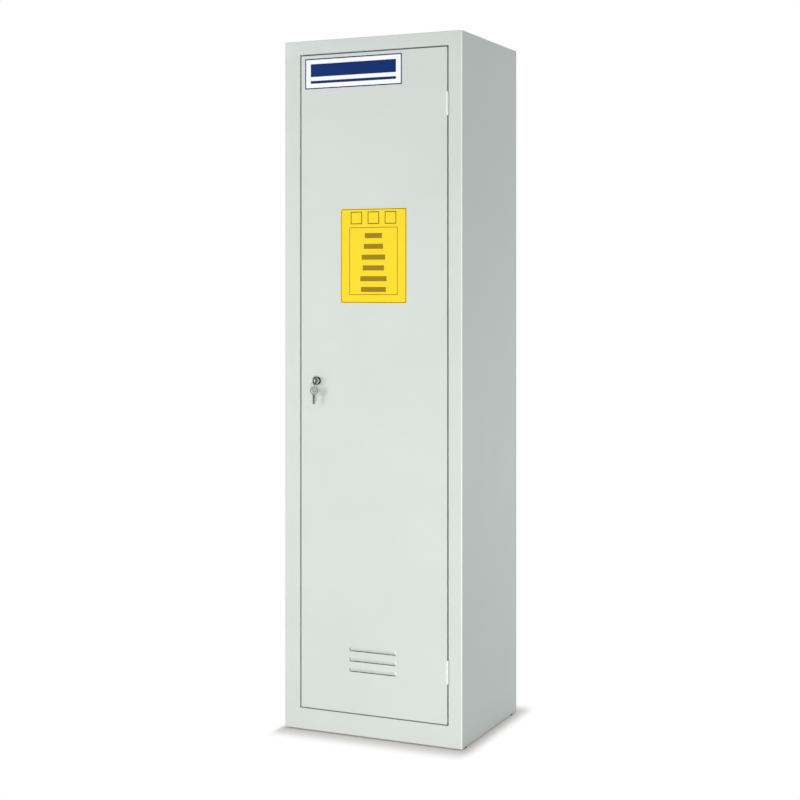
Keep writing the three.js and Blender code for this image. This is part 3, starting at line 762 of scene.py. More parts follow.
# Lock, keys and ring
def lock_case(sizes):
    """The rosette with a sunk ring round the plug, and the threaded case behind it."""
    face, front, rear = [y - LOCK.y for y in (LOCK_LOW.y, FRONT_Y, LOCK_HIGH.y)]
    plug_low, plug_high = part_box("lock_plug")
    inner = (plug_high.x - plug_low.x) / 2 + sizes.plug_gap
    outer = (LOCK_HIGH.x - LOCK_LOW.x) / 2
    edge, dish, case, thread = sizes.rosette_edge, sizes.dish_depth, sizes.case_radius, sizes.thread
    slope = dish / 6
    profile = [(inner, rear), (inner, face + dish), (sizes.dish_radius, face + dish),
               (sizes.dish_radius + slope, face)]
    profile += arc_points((outer - edge, face + edge), edge, -90, 0) + [(outer, front), (case, front)]
    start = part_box("lock_nut")[0].y - LOCK.y + thread
    for index in range(int((rear - start) / thread) - 1):
        profile += [(case, start + index * thread), (case - thread / 2, start + (index + 0.5) * thread)]
    profile += [(case - thread / 2, rear)]
    return smooth(turned("lock_case", profile, LOCK, "y", steps=64, ring=True))


def turning_plug(sizes):
    """The plug with its keyway."""
    low, high, centre = box_of("lock_plug")
    radius, half = (high.x - low.x) / 2, (high.y - low.y) / 2
    edge = sizes.plug_edge
    profile = [(0, -half)] + arc_points((radius - edge, edge - half), edge, -90, 0)
    profile += [(radius, half), (0, half)]
    piece = turned("turning_plug", profile, centre, "y", steps=64)
    key_low, key_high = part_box("key")
    gap = Vector((1, 1, 1)) * sizes.keyway_gap
    slot_low = Vector((key_low.x, low.y - gap.y, centre.z - sizes.blade)) - gap
    slot_high = Vector((key_high.x, key_high.y, centre.z + sizes.blade)) + gap
    combine(piece, block("keyway", slot_low, slot_high))
    return softened(piece, sizes.keyway_edge, angle=50)


def bow_places():
    """The middle of the hanging key's bow, that of the inserted key's bow, and a bow's radius."""
    low, high, hanging = box_of("spare_key")
    key_low, _, inserted = box_of("key")
    bow = (high.x - low.x) / 2
    return (Vector((hanging.x, hanging.y, high.z - bow)),
            Vector((inserted.x, key_low.y + bow, inserted.z)), bow)


def flat_key(sizes):
    """A key drawn in X and Z about the middle of its bow, with its blade down."""
    low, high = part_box("spare_key")
    bow, half = (high.x - low.x) / 2, (high.y - low.y) / 2
    tip = low.z - high.z + bow
    blade, rim, hole = sizes.blade, sizes.bow_rim, sizes.bow_hole
    tip_bevel = 0.7 * blade
    hole_place, through = (0, 0, sizes.bow_hole_rise), 6 * half
    piece = cylinder("key", (0, 0, 0), bow, 2 * half, "y", sides=72)
    for face in (-half, half):
        combine(piece, cylinder("pocket", (0, face, 0), bow - rim, 2 * sizes.bow_relief, "y", sides=64))
    combine(piece, cylinder("collar", hole_place, hole + rim, 2 * half, "y"), "UNION")
    shank = block("shank", (-blade, -half, tip), (blade, half, -bow / 2))
    with editing(shank):
        select("edges", lambda edge: near(middle(edge).z, tip) and near(middle(edge).y, 0))
        bevel(tip_bevel, 1)
    combine(piece, shank, "UNION")
    combine(piece, cylinder("hole", hole_place, hole, through, "y"))
    for index, share in enumerate(NOTCHES):
        place = (blade + sizes.notch_reach - share * sizes.notch_travel, 0,
                 tip + sizes.notch_first + index * sizes.notch_pitch)
        combine(piece, cylinder("notch", place, sizes.notch_radius, through, "y", sides=4))
    for way in (-1, 1):
        x, y = way * sizes.groove_offset, way * half
        reach, depth = sizes.groove_width / 2, sizes.groove_depth
        combine(piece, block("groove", (x - reach, y - depth, tip - rim), (x + reach, y + depth, rim - bow)))
    return softened(piece, sizes.key_edge, angle=40)


def moved(piece, name, matrix):
    """Moves and turns a piece, and puts its new place into its mesh."""
    piece.matrix_world = matrix
    activate(piece)
    return named(name)


def place_keys(sizes):
    """The spare key hangs, and its copy stands on edge in the lock."""
    hanging_place, inserted_place, _ = bow_places()
    hanging = flat_key(sizes)
    inserted = copy_of(hanging, "inserted_key")
    on_edge = Matrix.Rotation(QUARTER, 4, "X") @ Matrix.Rotation(QUARTER, 4, "Z")
    return (moved(inserted, "inserted_key", Matrix.Translation(inserted_place) @ on_edge),
            moved(hanging, "hanging_key", Matrix.Translation(hanging_place)))


def split_ring(sizes):
    """Two touching turns of wire, wound about the ring's own axis."""
    low, high, centre = box_of("key_ring")
    deselect()
    bpy.ops.mesh.primitive_circle_add(vertices=12, radius=sizes.wire_radius, rotation=(QUARTER, 0, 0),
                                      location=((high.z - low.z) / 2 - sizes.wire_inset, 0, 0))
    piece = named("split_ring")
    turns = 2
    modify(piece, "SCREW", axis="Z", angle=2 * math.pi, iterations=turns, screw_offset=sizes.wire_pitch,
           steps=72, render_steps=72, use_merge_vertices=False)
    with editing(piece):
        weld(TOUCH / 100)
        bpy.ops.mesh.select_all(action="DESELECT")
        bpy.ops.mesh.select_non_manifold()
        bpy.ops.mesh.edge_face_add()
        face_outwards()
    centred = Matrix.Translation((0, 0, -turns * sizes.wire_pitch / 2))
    upright = Matrix.Rotation(QUARTER / 2, 4, "Z") @ Matrix.Rotation(QUARTER, 4, "X")
    matrix = Matrix.Translation(centre) @ upright @ centred
    return smooth(moved(piece, "split_ring", matrix), angle=60)


# Tray, feet, spigot and shelves
def sump(sizes):
    """A moulded tray with drafted walls, round corners, ribs in its floor and a rolled rim."""
    low, high, centre = box_of("sump_tray")
    size, wall = high - low, sizes.tray_wall
    drawn_in = (1 - 2 * sizes.tray_draft / size.x, 1 - 2 * sizes.tray_draft / size.y, 1)
    piece = block("sump", low, high)
    with editing(piece):
        select("edges", lambda edge: lies_along(edge, "z"))
        bevel(sizes.tray_corner, 6)
        select("faces", lambda face: near(middle(face).z, high.z))
        bpy.ops.mesh.inset(thickness=wall, depth=0)
        extrude((0, 0, wall - size.z))
        bpy.ops.transform.resize(value=drawn_in)
        select("faces", lambda face: near(middle(face).z, low.z))
        bpy.ops.transform.resize(value=drawn_in)
        for on_rim, radius in ((False, sizes.tray_fold), (True, sizes.tray_rim)):
            select("edges", lambda edge: is_fold(edge) and near(middle(edge).z, high.z) == on_rim)
            bevel(radius, 3)
    ribs = []
    for index in range(sizes.rib_count):
        x = centre.x + (index - (sizes.rib_count - 1) / 2) * sizes.rib_pitch
        half, inset = sizes.rib_width / 2, sizes.rib_inset
        rib = block("rib", (x - half, low.y + inset, low.z + wall / 2),
                    (x + half, high.y - inset, low.z + wall + sizes.rib_rise))
        round_edges(rib, sizes.rib_edge, segments=3)
        ribs.append(rib)
    combine(piece, merge("ribs", ribs), "UNION")
    return smooth(piece)


def foot(node, sizes):
    """A levelling foot: a pad with a soft rim and rings in its tread, and its stem."""
    low, high, centre = box_of(node)
    pad, stem = (high.x - low.x) / 2, sizes.foot_stem
    thick, height = BASE_Z - low.z, high.z - low.z
    edge = thick / 3
    profile = [(0, 0), (pad / 2, 0), (pad / 2 + edge / 2, edge / 2), (pad / 2 + edge, 0)]
    profile += arc_points((pad - edge, edge), edge, -90, 0)
    profile += arc_points((pad - edge, thick - edge), edge, 0, 90)
    profile += [(stem, thick), (stem, height - edge / 2), (stem - edge / 2, height), (0, height)]
    return smooth(turned(f"{node}_pad", profile, (centre.x, centre.y, low.z), "z", steps=48))


def screw_head(place):
    """A domed head with a slot across it, on the flange."""
    profile = [(radius * MM, rise * MM) for radius, rise in SCREW_DOME]
    head = turned("screw_head", profile, place, "z", steps=24)
    combine(head, block("slot", *[place + Vector(corner) * MM for corner in SCREW_SLOT]))
    return head


def spigot(sizes):
    """The duct spigot: a flange, a tube with a bead near its mouth and a turned rim, and its screws."""
    low, high, centre = box_of("exhaust_spigot")
    centre.z = low.z
    flange, height = (high.x - low.x) / 2, high.z - low.z
    thick, tube, hole = sizes.duct_flange, sizes.duct_radius, sizes.duct_bore
    fillet, bead, bead_z = sizes.duct_fillet, sizes.duct_bead, height * 0.7
    profile = [(hole, 0), (flange, 0), (flange, thick - fillet / 2), (flange - fillet / 2, thick)]
    profile += arc_points((tube + fillet, thick + fillet), fillet, 270, 180)
    profile += [(tube, bead_z - 2 * bead), (tube + bead, bead_z - bead),
                (tube + bead, bead_z + bead), (tube, bead_z + 2 * bead)]
    for radius, start in ((tube - bead / 2, 0), (hole + bead / 2, 90)):
        profile += arc_points((radius, height - bead / 2), bead / 2, start, start + 90, steps=3)
    piece = smooth(turned("duct_spigot", profile, centre, "z", steps=96, ring=True))
    heads, reach = [], (flange + tube) / 2
    for index in range(sizes.screw_count):
        turn = 2 * math.pi * (index + 0.5) / sizes.screw_count
        heads.append(screw_head(centre + Vector((reach * math.cos(turn), reach * math.sin(turn), thick))))
    return piece, smooth(merge("spigot_screws", heads), angle=50)


def shelf(node, sizes):
    """A tray shelf: a pan with round corners and a rim hemmed over inwards."""
    low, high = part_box(node)
    piece = block(f"{node}_tray", low, high)
    with editing(piece):
        select("faces", lambda face: near(middle(face).z, high.z))
        bpy.ops.mesh.inset(thickness=sizes.shelf_hem, depth=0)
        bpy.ops.mesh.delete(type="FACE")
        select("edges", is_fold)
        bevel(sizes.shelf_fold, 4)
    thicken(piece)
    return softened(piece, sizes.fitting_edge)


# Shader maths
def maths_method(kind, reflected=False):
    """A method that joins two values in a maths node."""
    def method(self, other):
        return self.math(kind, other, self) if reflected else self.math(kind, self, other)
    return method


class Shade:
    """One output of a node, which sums and products can be written with."""
    def __init__(self, tree, socket=None):
        self.tree = tree
        self.socket = socket

    def node(self, kind, inputs=None, output=0, **settings):
        """Adds a shader node, sets it up, then feeds its sockets with values or links."""
        made = self.tree.nodes.new("ShaderNode" + kind)
        for name, setting in settings.items():
            setattr(made, name, setting)
        for key, source in (inputs or {}).items():
            if isinstance(source, Shade):
                self.tree.links.new(source.socket, made.inputs[key])
            else:
                made.inputs[key].default_value = source
        return Shade(self.tree, made.outputs[output] if made.outputs else None)

    def math(self, kind, *terms):
        return self.node("Math", dict(enumerate(terms)), operation=kind)

    __add__ = __radd__ = maths_method("ADD")
    __mul__ = __rmul__ = maths_method("MULTIPLY")
    __sub__, __rsub__ = maths_method("SUBTRACT"), maths_method("SUBTRACT", reflected=True)
    __truediv__, __rtruediv__ = maths_method("DIVIDE"), maths_method("DIVIDE", reflected=True)
    __pow__ = maths_method("POWER")
    __gt__, __lt__ = maths_method("GREATER_THAN"), maths_method("LESS_THAN")
    least, most = maths_method("MINIMUM"), maths_method("MAXIMUM")

    def __abs__(self):
        return self.math("ABSOLUTE", self)

    def clamped(self):
        return self.node("Clamp", {"Value": self})

    def fade(self, start, end):
        """Rises smoothly from 0 at start to 1 at end."""
        return self.node("MapRange", {"Value": self, "From Min": start, "From Max": end},
                         interpolation_type="SMOOTHSTEP")

    def blend(self, other, share):
        """This colour, turned into the other one by a share."""
        return self.node("Mix", {0: share, 6: self, 7: other}, 2, data_type="RGBA")

    def noise(self, size, detail, roughness=0.55, stretch=(1, 1, 1)):
        """Even noise on this place, whose spots are about one size in metres."""
        scaled = self.node("Mapping", {"Vector": self, "Scale": [part / size for part in stretch]})
        return self.node("TexNoise", {"Vector": scaled, "Scale": 1, "Detail": detail,
                                      "Roughness": roughness})

    def split(self):
        """The three parts of a place."""
        return [self.node("SeparateXYZ", {0: self}, index) for index in range(3)]

    def bump(self, height, distance, strength):
        return self.node("Bump", {"Height": height, "Distance": distance, "Strength": strength})


class Finish:
    """A material on Object coordinates, made of one shader."""
    def __init__(self, name):
        self.material = bpy.data.materials.new(name)
        self.material.use_nodes = True
        self.material.node_tree.nodes.clear()
        self.place = Shade(self.material.node_tree).node("TexCoord", output="Object")

    def colour(self, rgb, factor=1):
        """A colour, made darker or paler by a factor, as one end of a blend."""
        return self.place.node("CombineColor", dict(enumerate(min(1, part * factor) for part in rgb)))

    def close(self, **sockets):
        """Ends the material in its shader, with underscores for the spaces in the sockets' names."""
        shader = self.place.node("BsdfPrincipled", {word.replace("_", " "): source
                                                    for word, source in sockets.items()})
        self.place.node("OutputMaterial", {"Surface": shader})
        return self.material


def between(value, low, high):
    """1 where a value lies between two limits, else 0."""
    return (value > low) * (value < high)


def far_from(first, second, point):
    """The distance in two axes from a point to this place."""
    return ((first - point[0]) ** 2 + (second - point[1]) ** 2) ** 0.5


def louvre_tip_light(place):
    """Two masks of painted light on the louvres: painted shade at their left ends and a painted highlight at
    their right ends.
    They have no limit in depth, so they also show on the back panel, as six small dots."""
    sizes = bpy.context.scene.cabinet_door
    x, _, z = place.split()
    above_first = z - (DOOR_LOW.z + sizes.louvre_rise)
    rows = between(above_first, 0, sizes.louvre_count * sizes.louvre_pitch)
    above_slit = place.math("FLOORED_MODULO", above_first, sizes.louvre_pitch)

    def spot(side, rise, wide, tall):
        across = (x - (DOOR.x + side * (sizes.louvre_width / 2 - wide))) / wide
        up = (above_slit - rise * sizes.louvre_height) / tall
        return (1 - (across * across + up * up).fade(0.4, 1)) * rows

    return (spot(-1, rise=0.45, wide=2 * MM, tall=5 * MM),
            spot(1, rise=0.75, wide=2.4 * MM, tall=4.5 * MM))


def powder_coat(name, rgb, peel):
    """Baked powder paint: orange peel, specks, cloudy gloss and dust low down. It has painted highlights on
    the front fold at the right, on hinge barrels and at the louvres' right ends, and painted shade at their
    left ends."""
    finish = Finish(name)
    place = finish.place
    cloud = place.noise(0.22, 2)
    speck = place.noise(0.0009, 1)
    skin = place.noise(0.0026, 2, 0.45)
    ripple = place.noise(0.0075, 1, 0.4)
    base = finish.colour(rgb, 0.985).blend(finish.colour(rgb, 1.012), cloud.fade(0.3, 0.7))
    base = base.blend(finish.colour(rgb, 0.93), speck.fade(0.66, 0.78) * 0.35)
    x, y, height = place.split()
    # Painted highlights: the fold at the right front corner, and all that stands proud of the front, such as
    # the hinge barrels
    fold, clear_of_front = 3 * MM, 0.5 * MM
    fold_highlight = (x > RIGHT_X - fold) * (y < FRONT_Y + fold)
    barrel_highlight = y < FRONT_Y - clear_of_front
    tip_shade, tip_highlight = louvre_tip_light(place)
    # Painted shade at the louvres' left ends
    base = base.blend(finish.colour(rgb, 0.45), tip_shade)
    # Painted highlights on that fold, on the hinge barrels and at the louvres' right ends
    base = base.blend(finish.colour(rgb, 1.35), fold_highlight.most(barrel_highlight).most(tip_highlight))
    low_down = 1 - height.fade(0.0, 0.1)
    dust = low_down * place.noise(0.03, 4).fade(0.3, 0.75) * 0.08
    base = base.blend(finish.colour(DUST), dust)
    rough = 0.34 + cloud * 0.05 + speck * 0.05 + dust * 0.6
    return finish.close(Base_Color=base, Roughness=rough, IOR=1.48,
                        Normal=place.bump(skin * 0.7 + ripple * 0.3, peel, 0.8))


def plated(name, rgb, rough, grain, stretch=(1, 1, 1), tarnish=0.12, patch=None):
    """Plated metal: clouded reflection, a grain that can run one way, faint tarnish, and one other tone in a
    patch: painted shade on the lock's rim, a painted reflection on the keys' bows.
    """
    finish = Finish(name)
    place = finish.place
    cloud = place.noise(0.02, 3)
    fine = place.noise(grain, 3, 0.6, stretch)
    spots = place.noise(0.004, 4, 0.65)
    base = finish.colour(rgb).blend(finish.colour(rgb, 0.72), spots.fade(0.56, 0.8) * tarnish)
    base = base.blend(finish.colour(rgb, 1.1), cloud.fade(0.4, 0.7) * 0.3)
    if patch:
        patch_rgb, patch_mask = patch
        base = base.blend(finish.colour(patch_rgb), patch_mask(place))
    roughness = rough + (fine - 0.5) * rough * 0.5 + spots.fade(0.5, 0.8) * tarnish * 0.5
    return finish.close(Base_Color=base, Metallic=1.0, Roughness=roughness.clamped(),
                        Normal=place.bump(fine, grain * 0.12, 0.5))


def galvanised(name, rgb):
    """Clear-passivated zinc: blue-grey cells of slightly different shade, with fine rolling lines."""
    finish = Finish(name)
    place = finish.place
    cell_width = 0.006
    cells = place.node("TexVoronoi", {"Vector": place, "Scale": 1 / cell_width}, "Color", feature="F1")
    shade = cells.node("SeparateColor", {0: cells})
    lines = place.noise(0.0008, 3, 0.6, (1, 1, 0.06))
    base = finish.colour(rgb, 0.9).blend(finish.colour(rgb, 1.06), shade)
    bluer = finish.colour([part * share for part, share in zip(rgb, (0.92, 0.96, 1.08))])
    base = base.blend(bluer, place.noise(0.05, 2).fade(0.45, 0.75) * 0.18)
    return finish.close(Base_Color=base, Metallic=1.0, Roughness=0.3 + shade * 0.12 + lines * 0.1,
                        Normal=place.bump(lines, 0.00005, 0.5))


def moulded(name, rgb):
    """Moulded polypropylene: a waxy surface with a fine spark grain and faint flow clouds."""
    finish = Finish(name)
    place = finish.place
    cloud = place.noise(0.06, 3)
    grain = place.noise(0.0007, 2, 0.6)
    base = finish.colour(rgb, 0.97).blend(finish.colour(rgb, 1.02), cloud.fade(0.35, 0.65))
    return finish.close(Base_Color=base, Roughness=0.42 + grain * 0.1 + cloud * 0.06, IOR=1.49,
                        Normal=place.bump(grain, 0.00006, 0.7))


def rubber_finish(name, rgb):
    """Moulded rubber: matt, lightly bloomed and finely pitted."""
    finish = Finish(name)
    place = finish.place
    bloom = place.noise(0.012, 4, 0.6)
    pits = place.noise(0.0006, 3, 0.6)
    base = finish.colour(rgb).blend(finish.colour(rgb, 2.4), bloom.fade(0.5, 0.8) * 0.4)
    return finish.close(Base_Color=base, Roughness=0.72 + bloom * 0.15,
                        Normal=place.bump(pits, 0.00008, 0.8))


class Print:
    """The ink on a card: rectangles in millimetres, from the card's upright middle line and its foot."""
    def __init__(self, name, node):
        self.finish = Finish(name)
        self.low, self.high, self.centre = box_of(node)
        self.x, _, self.z = self.finish.place.split()
        self.width, self.height = (self.high.x - self.low.x) / MM, (self.high.z - self.low.z) / MM
        self.ink = 0

    def patch(self, half, bottom, top, across=0):
        """1 inside a rectangle, else 0."""
        middle_x = self.centre.x + across * MM
        return between(self.x, middle_x - half * MM, middle_x + half * MM) \
            * between(self.z, self.low.z + bottom * MM, self.low.z + top * MM)

    def bar(self, half, bottom, top, tone=1):
        """Prints a filled rectangle."""
        self.ink = self.patch(half, bottom, top) * tone + self.ink

    def outline(self, line, half, bottom, top, across=0):
        """Prints the outline of a rectangle, inside its edge."""
        inner = self.patch(half - line, bottom + line, top - line, across)
        self.ink = self.patch(half, bottom, top, across) - inner + self.ink

    def border(self, line, inset):
        """Prints a line all round the card."""
        self.outline(line, self.width / 2 - inset, inset, self.height - inset)

    def film(self, ground, ink):
        """Printed vinyl: inked ground with a clear gloss skin, faint print grain and slight waves."""
        place = self.finish.place
        grain = place.noise(0.0005, 2, 0.6)
        wave = place.noise(0.035, 2, 0.5)
        base = self.finish.colour(ground, 0.975).blend(self.finish.colour(ground), grain.fade(0.3, 0.6))
        base = base.blend(self.finish.colour(ink), self.ink)
        rough = 0.3 + wave * 0.08 + grain * 0.06 - self.ink * 0.04
        relief = wave * 0.6 + grain * 0.1 + self.ink * 0.3
        return self.finish.close(Base_Color=base, Roughness=rough, IOR=1.46, Specular_IOR_Level=0.1,
                                 Normal=place.bump(relief, 0.0001, 0.6))


def name_card_film(colours):
    """A white card with a thin border, one plain bar and a thin rule under it."""
    card_print = Print("white_card_film", "name_card")
    card_print.border(line=3, inset=0.2)
    half = 0.44 * card_print.width
    for bottom, top in ((0.4, 0.82), (0.18, 0.27)):
        card_print.bar(half, bottom * card_print.height, top * card_print.height)
    return card_print.film(colours.card_white, colours.card_blue)


def contents_card_film(colours):
    """A yellow card with a border, a framed panel of plain bars and a row of three empty boxes."""
    card_print = Print("yellow_card_film", "contents_card")
    card_print.border(line=1.5, inset=1.5)
    card_print.outline(line=1.3, half=68, bottom=21.7, top=194.7)
    for across in (-48, 0, 48):
        card_print.outline(line=2, half=16, bottom=203, top=235, across=across)
    first_bar, bar_pitch, bar_rise = 173.2, 27.6, 6.5
    for index, half in enumerate((24, 27, 33, 30, 37, 35)):
        bar_z = first_bar - bar_pitch * index
        card_print.bar(half, bar_z - bar_rise, bar_z + bar_rise, tone=0.75)
    return card_print.film(colours.card_yellow, colours.card_ink)


def lock_rim_shade(place):
    """1 on the rim of the lock's rosette, which is painted in shade."""
    x, _, z = place.split()
    radius = (LOCK_HIGH.x - LOCK_LOW.x) / 2
    return far_from(x, z, LOCK.xz) > radius - bpy.context.scene.cabinet_lock.rosette_rim


def bow_face_highlight(place):
    """1 inside the rims of both keys' bows, where a painted reflection brightens the faces."""
    x, y, z = place.split()
    hanging, inserted, bow = bow_places()
    distance = far_from(x, z, hanging.xz).least(far_from(y, z, inserted.yz))
    return distance < bow - bpy.context.scene.cabinet_lock.bow_rim


# Steps
class CABINET_OT_finishes(bpy.types.Operator):
    """Make the paint, plated metal, plastic, rubber and printed film of the cabinet"""
    bl_idname = "cabinet.finishes"
    bl_label = "Finishes"

    def execute(self, context):
        colours = context.scene.cabinet_finishes
        FINISHES.update({
            "paint": powder_coat("powder_coat", colours.paint, peel=0.00009),
            "shelf_paint": powder_coat("shelf_powder_coat", colours.shelf_paint, peel=0.00007),
            "zinc": galvanised("passivated_zinc", colours.zinc),
            # The chrome's patch is painted shade on the lock's rim
            "chrome": plated("bright_chrome", colours.chrome, rough=0.09, grain=0.0012, tarnish=0.04,
                             patch=(colours.painted_rim_shade, lock_rim_shade)),
            "steel": plated("turned_steel", colours.steel, rough=0.28, grain=0.0006, stretch=(1, 1, 8)),
            # The nickel's patch is a painted reflection on the bows' faces
            "nickel": plated("brushed_nickel", colours.nickel, rough=0.24, grain=0.0005,
                             stretch=(1, 1, 0.1), patch=(colours.nickel_highlight, bow_face_highlight)),
            "polypropylene": moulded("moulded_polypropylene", colours.polypropylene),
            "rubber": rubber_finish("matt_rubber", colours.rubber),
            "white_card": name_card_film(colours),
            "yellow_card": contents_card_film(colours),
        })
        return {"FINISHED"}


class CABINET_OT_carcass(bpy.types.Operator):
    """Fold the two sides, the roof and the floor, and weld on the back"""
    bl_idname = "cabinet.carcass"
    bl_label = "Carcass"

    def execute(self, context):
        sizes = context.scene.cabinet_carcass
        sheets = [(side_sheet(side, sizes), f"{side}_side") for side in SIDES]
        sheets += [(roof_sheet(sizes), "roof"), (floor_sheet(sizes), "floor_pan"),
                   (back_sheet(sizes), "back_panel")]
        for sheet, node in sheets:
            finish_piece(sheet, "paint", "cabinet", node)
        return {"FINISHED"}


class CABINET_OT_door(bpy.types.Operator):
    """Fold the door, press its louvres and fit its stiffener"""
    bl_idname = "cabinet.door"
    bl_label = "Door"

    def execute(self, context):
        sizes = context.scene.cabinet_door
        finish_piece(door_skin(sizes), "paint", "door", "door_panel")
        stiffener = refined("door_stiffener", "hat_stiffener", sizes.stiffener_edge)
        finish_piece(stiffener, "paint", "door", "door_stiffener")
        return {"FINISHED"}


class CABINET_OT_cards(bpy.types.Operator):
    """Lay the name card and the contents card on the door"""
    bl_idname = "cabinet.cards"
    bl_label = "Cards"

    def execute(self, context):
        for node, slot in (("name_card", "white_card"), ("contents_card", "yellow_card")):
            finish_piece(card(node, context.scene.cabinet_door), slot, "door", node)
        return {"FINISHED"}


class CABINET_OT_hinges(bpy.types.Operator):
    """Round the edges of the hinge leaves and their pins"""
    bl_idname = "cabinet.hinges"
    bl_label = "Hinges"

    def execute(self, context):
        edge = context.scene.cabinet_door.hinge_edge
        for height in HEIGHTS:
            round_node(f"hinge_{height}_frame_leaf", "painted", edge, "paint", "cabinet")
            round_node(f"hinge_{height}_door_leaf", "painted", edge, "paint", "door")
            round_node(f"hinge_{height}_pin", "turned", 2 * edge, "steel", "cabinet", segments=3)
        return {"FINISHED"}


class CABINET_OT_lock(bpy.types.Operator):
    """Turn the lock's case and plug, and round its nut, cam and bolt"""
    bl_idname = "cabinet.lock"
    bl_label = "Lock"

    def execute(self, context):
        sizes = context.scene.cabinet_lock
        finish_piece(lock_case(sizes), "chrome", "door", "lock_body")
        finish_piece(turning_plug(sizes), "chrome", "lock_plug", "lock_plug")
        for node, slot, body in (("lock_nut", "zinc", "door"), ("lock_cam", "zinc", "lock_plug"),
                                 ("cam_bolt", "steel", "lock_plug")):
            round_node(node, "finished", sizes.part_edge, slot, body)
        return {"FINISHED"}


class CABINET_OT_bolts(bpy.types.Operator):
    """Round the shooting bolts and their guides"""
    bl_idname = "cabinet.bolts"
    bl_label = "Shooting bolts"

    def execute(self, context):
        edge = context.scene.cabinet_lock.bolt_edge
        for height in HEIGHTS:
            round_node(f"{height}_rod", "drawn", edge, "zinc", f"{height}_rod")
            for number in (1, 2):
                round_node(f"rod_guide_{height}_{number}", "bent", edge, "zinc", "door")
        return {"FINISHED"}


class CABINET_OT_keys(bpy.types.Operator):
    """Cut two keys and wind the split ring that joins them"""
    bl_idname = "cabinet.keys"
    bl_label = "Keys"

    def execute(self, context):
        sizes = context.scene.cabinet_lock
        inserted, hanging = place_keys(sizes)
        for piece, node in ((inserted, "key"), (hanging, "spare_key"), (split_ring(sizes), "key_ring")):
            finish_piece(piece, "nickel", node, node)
        return {"FINISHED"}


class CABINET_OT_shelving(bpy.types.Operator):
    """Fold the shelves and round their uprights and clips"""
    bl_idname = "cabinet.shelving"
    bl_label = "Shelving"

    def execute(self, context):
        sizes = context.scene.cabinet_fittings
        corners = [f"{end}_{side}" for end in ENDS for side in SIDES]
        for height in ("lower", "middle", "upper"):
            finish_piece(shelf(f"shelf_{height}", sizes), "shelf_paint", "cabinet", f"shelf_{height}")
            for corner in corners:
                round_node(f"clip_{height}_{corner}", "bent", sizes.fitting_edge, "zinc", "cabinet")
        for corner in corners:
            round_node(f"upright_{corner}", "rolled", sizes.fitting_edge, "zinc", "cabinet")
        return {"FINISHED"}


class CABINET_OT_fittings(bpy.types.Operator):
    """Mould the sump tray, the duct spigot, the feet and the door buffers"""
    bl_idname = "cabinet.fittings"
    bl_label = "Tray, spigot and feet"

    def execute(self, context):
        sizes = context.scene.cabinet_fittings
        finish_piece(sump(sizes), "polypropylene", "cabinet", "sump_tray")
        tube, screws = spigot(sizes)
        finish_piece(tube, "polypropylene", "cabinet", "exhaust_spigot")
        finish_piece(screws, "zinc", "cabinet")
        for node in [f"foot_{end}_{side}" for end in ENDS for side in SIDES]:
            finish_piece(foot(node, sizes), "rubber", "cabinet", node)
        for height in HEIGHTS:
            round_node(f"door_buffer_{height}", "domed", sizes.buffer_edge, "rubber", "cabinet", segments=3)
        return {"FINISHED"}


class CABINET_OT_stage(bpy.types.Operator):
    """Set out the floor, the lamps and the camera"""
    bl_idname = "cabinet.stage"
    bl_label = "Stage"

    def execute(self, context):
        stage = context.scene.cabinet_stage
        lay_floor(stage)
        light_world(stage.room_light)
        for name, (place, target, size, colour) in LAMPS.items():
            hang_lamp(f"{name}_lamp", place, target, size, getattr(stage, f"{name}_power"), colour)
        bpy.ops.object.camera_add(location=stage.camera_place, rotation=(QUARTER, 0, stage.camera_turn))
        camera = bpy.context.object
        camera.data.lens = stage.lens
        camera.data.shift_x, camera.data.shift_y = stage.shift
        context.scene.camera = camera
        context.scene.view_settings.view_transform = "Standard"
        return {"FINISHED"}


# Stage
def seen_directly(start):
    """1 for what the camera sees, straight or in a mirror or glass, else 0."""
    camera, glossy, through = [start.node("LightPath", output=f"Is {kind} Ray")
                               for kind in ("Camera", "Glossy", "Transmission")]
    return (camera + glossy + through).clamped()


def lay_floor(stage):
    """A pale floor that keeps the shadow near the cabinet and fades to white further out."""
    deselect()
    bpy.ops.mesh.primitive_plane_add(size=FLOOR_SIZE)
    floor = named("studio_floor")
    finish = Finish("studio_floor")
    place = finish.place
    x, y, _ = place.split()
    front = stage.shadow_front
    across = (x - RIGHT_X).most(0) * (front / stage.shadow_right) \
        + (LEFT_X - x).most(0) * (front / stage.shadow_left)
    along = (abs(y - (FRONT_Y + BACK_Y) / 2) - (BACK_Y - FRONT_Y) / 2).most(0)
    fading = (across * across + along * along) ** 0.5
    whiteness = fading.fade(0, front) * (1 - stage.shadow_lift) + stage.shadow_lift
    matt = place.node("BsdfDiffuse", {"Color": (*stage.floor, 1)})
    glow = place.node("Emission", {"Color": (1, 1, 1, 1), "Strength": 1})
    mixed = place.node("MixShader", {0: seen_directly(place) * whiteness, 1: matt, 2: glow})
    place.node("OutputMaterial", {"Surface": mixed})
    floor.data.materials.append(finish.material)
    return floor


def light_world(strength):
    """Even pale light, seen as plain white."""
    world = bpy.data.worlds.new("studio")
    world.use_nodes = True
    world.node_tree.nodes.clear()
    start = Shade(world.node_tree)
    seen = seen_directly(start)
    pale, white = [start.node("CombineColor", dict(enumerate(rgb))) for rgb in (ROOM_TINT, (1, 1, 1))]
    sky = start.node("Background", {"Color": pale.blend(white, seen),
                                    "Strength": strength + seen * (1 - strength)})
    start.node("OutputWorld", {"Surface": sky})
    bpy.context.scene.world = world


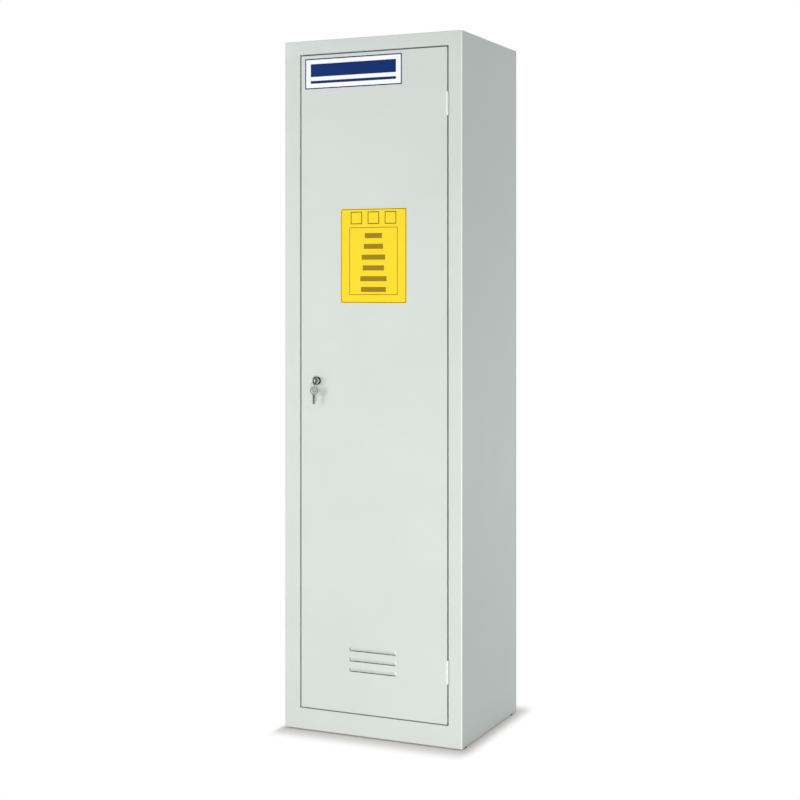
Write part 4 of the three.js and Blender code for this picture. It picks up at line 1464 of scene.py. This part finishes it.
def hang_lamp(name, place, target, size, power, colour):
    """Hangs a square lamp at a place, turned towards a target."""
    aim = (Vector(target) - Vector(place)).to_track_quat("-Z", "Y").to_euler()
    bpy.ops.object.light_add(type="AREA", location=place, rotation=aim)
    lamp = bpy.context.object
    lamp.name = name
    lamp.data.size = size
    lamp.data.energy = power
    lamp.data.color = colour


# Registration
STEPS = (CABINET_OT_finishes, CABINET_OT_carcass, CABINET_OT_door, CABINET_OT_cards, CABINET_OT_hinges,
         CABINET_OT_lock, CABINET_OT_bolts, CABINET_OT_keys, CABINET_OT_shelving, CABINET_OT_fittings,
         CABINET_OT_stage)
SETTINGS = {"cabinet_carcass": CabinetCarcassSizes, "cabinet_door": CabinetDoorSizes,
            "cabinet_lock": CabinetLockSizes, "cabinet_fittings": CabinetFittingSizes,
            "cabinet_finishes": CabinetFinishes, "cabinet_stage": CabinetStage}


class CABINET_PT_sidebar(bpy.types.Panel):
    """Lists the cabinet's steps and settings"""
    bl_label = "Chemical storage cabinet"
    bl_idname = "CABINET_PT_sidebar"
    bl_space_type = "VIEW_3D"
    bl_region_type = "UI"
    bl_category = "Cabinet"

    def draw(self, context):
        for step in STEPS:
            self.layout.operator(step.bl_idname)
        for name, group in SETTINGS.items():
            box = self.layout.box()
            for setting in group.__annotations__:
                box.prop(getattr(context.scene, name), setting)


def register():
    for group in (*SETTINGS.values(), *STEPS, CABINET_PT_sidebar):
        bpy.utils.register_class(group)
    for name, group in SETTINGS.items():
        setattr(bpy.types.Scene, name, PointerProperty(type=group))


def unregister():
    for name in SETTINGS:
        delattr(bpy.types.Scene, name)
    for group in (CABINET_PT_sidebar, *reversed(STEPS), *SETTINGS.values()):
        bpy.utils.unregister_class(group)


def main():
    register()
    bpy.ops.cabinet.finishes()
    bpy.ops.cabinet.carcass()
    bpy.ops.cabinet.door()
    bpy.ops.cabinet.cards()
    bpy.ops.cabinet.hinges()
    bpy.ops.cabinet.lock()
    bpy.ops.cabinet.bolts()
    bpy.ops.cabinet.keys()
    bpy.ops.cabinet.shelving()
    bpy.ops.cabinet.fittings()
    bpy.ops.cabinet.stage()


if __name__ == "__main__":
    main()
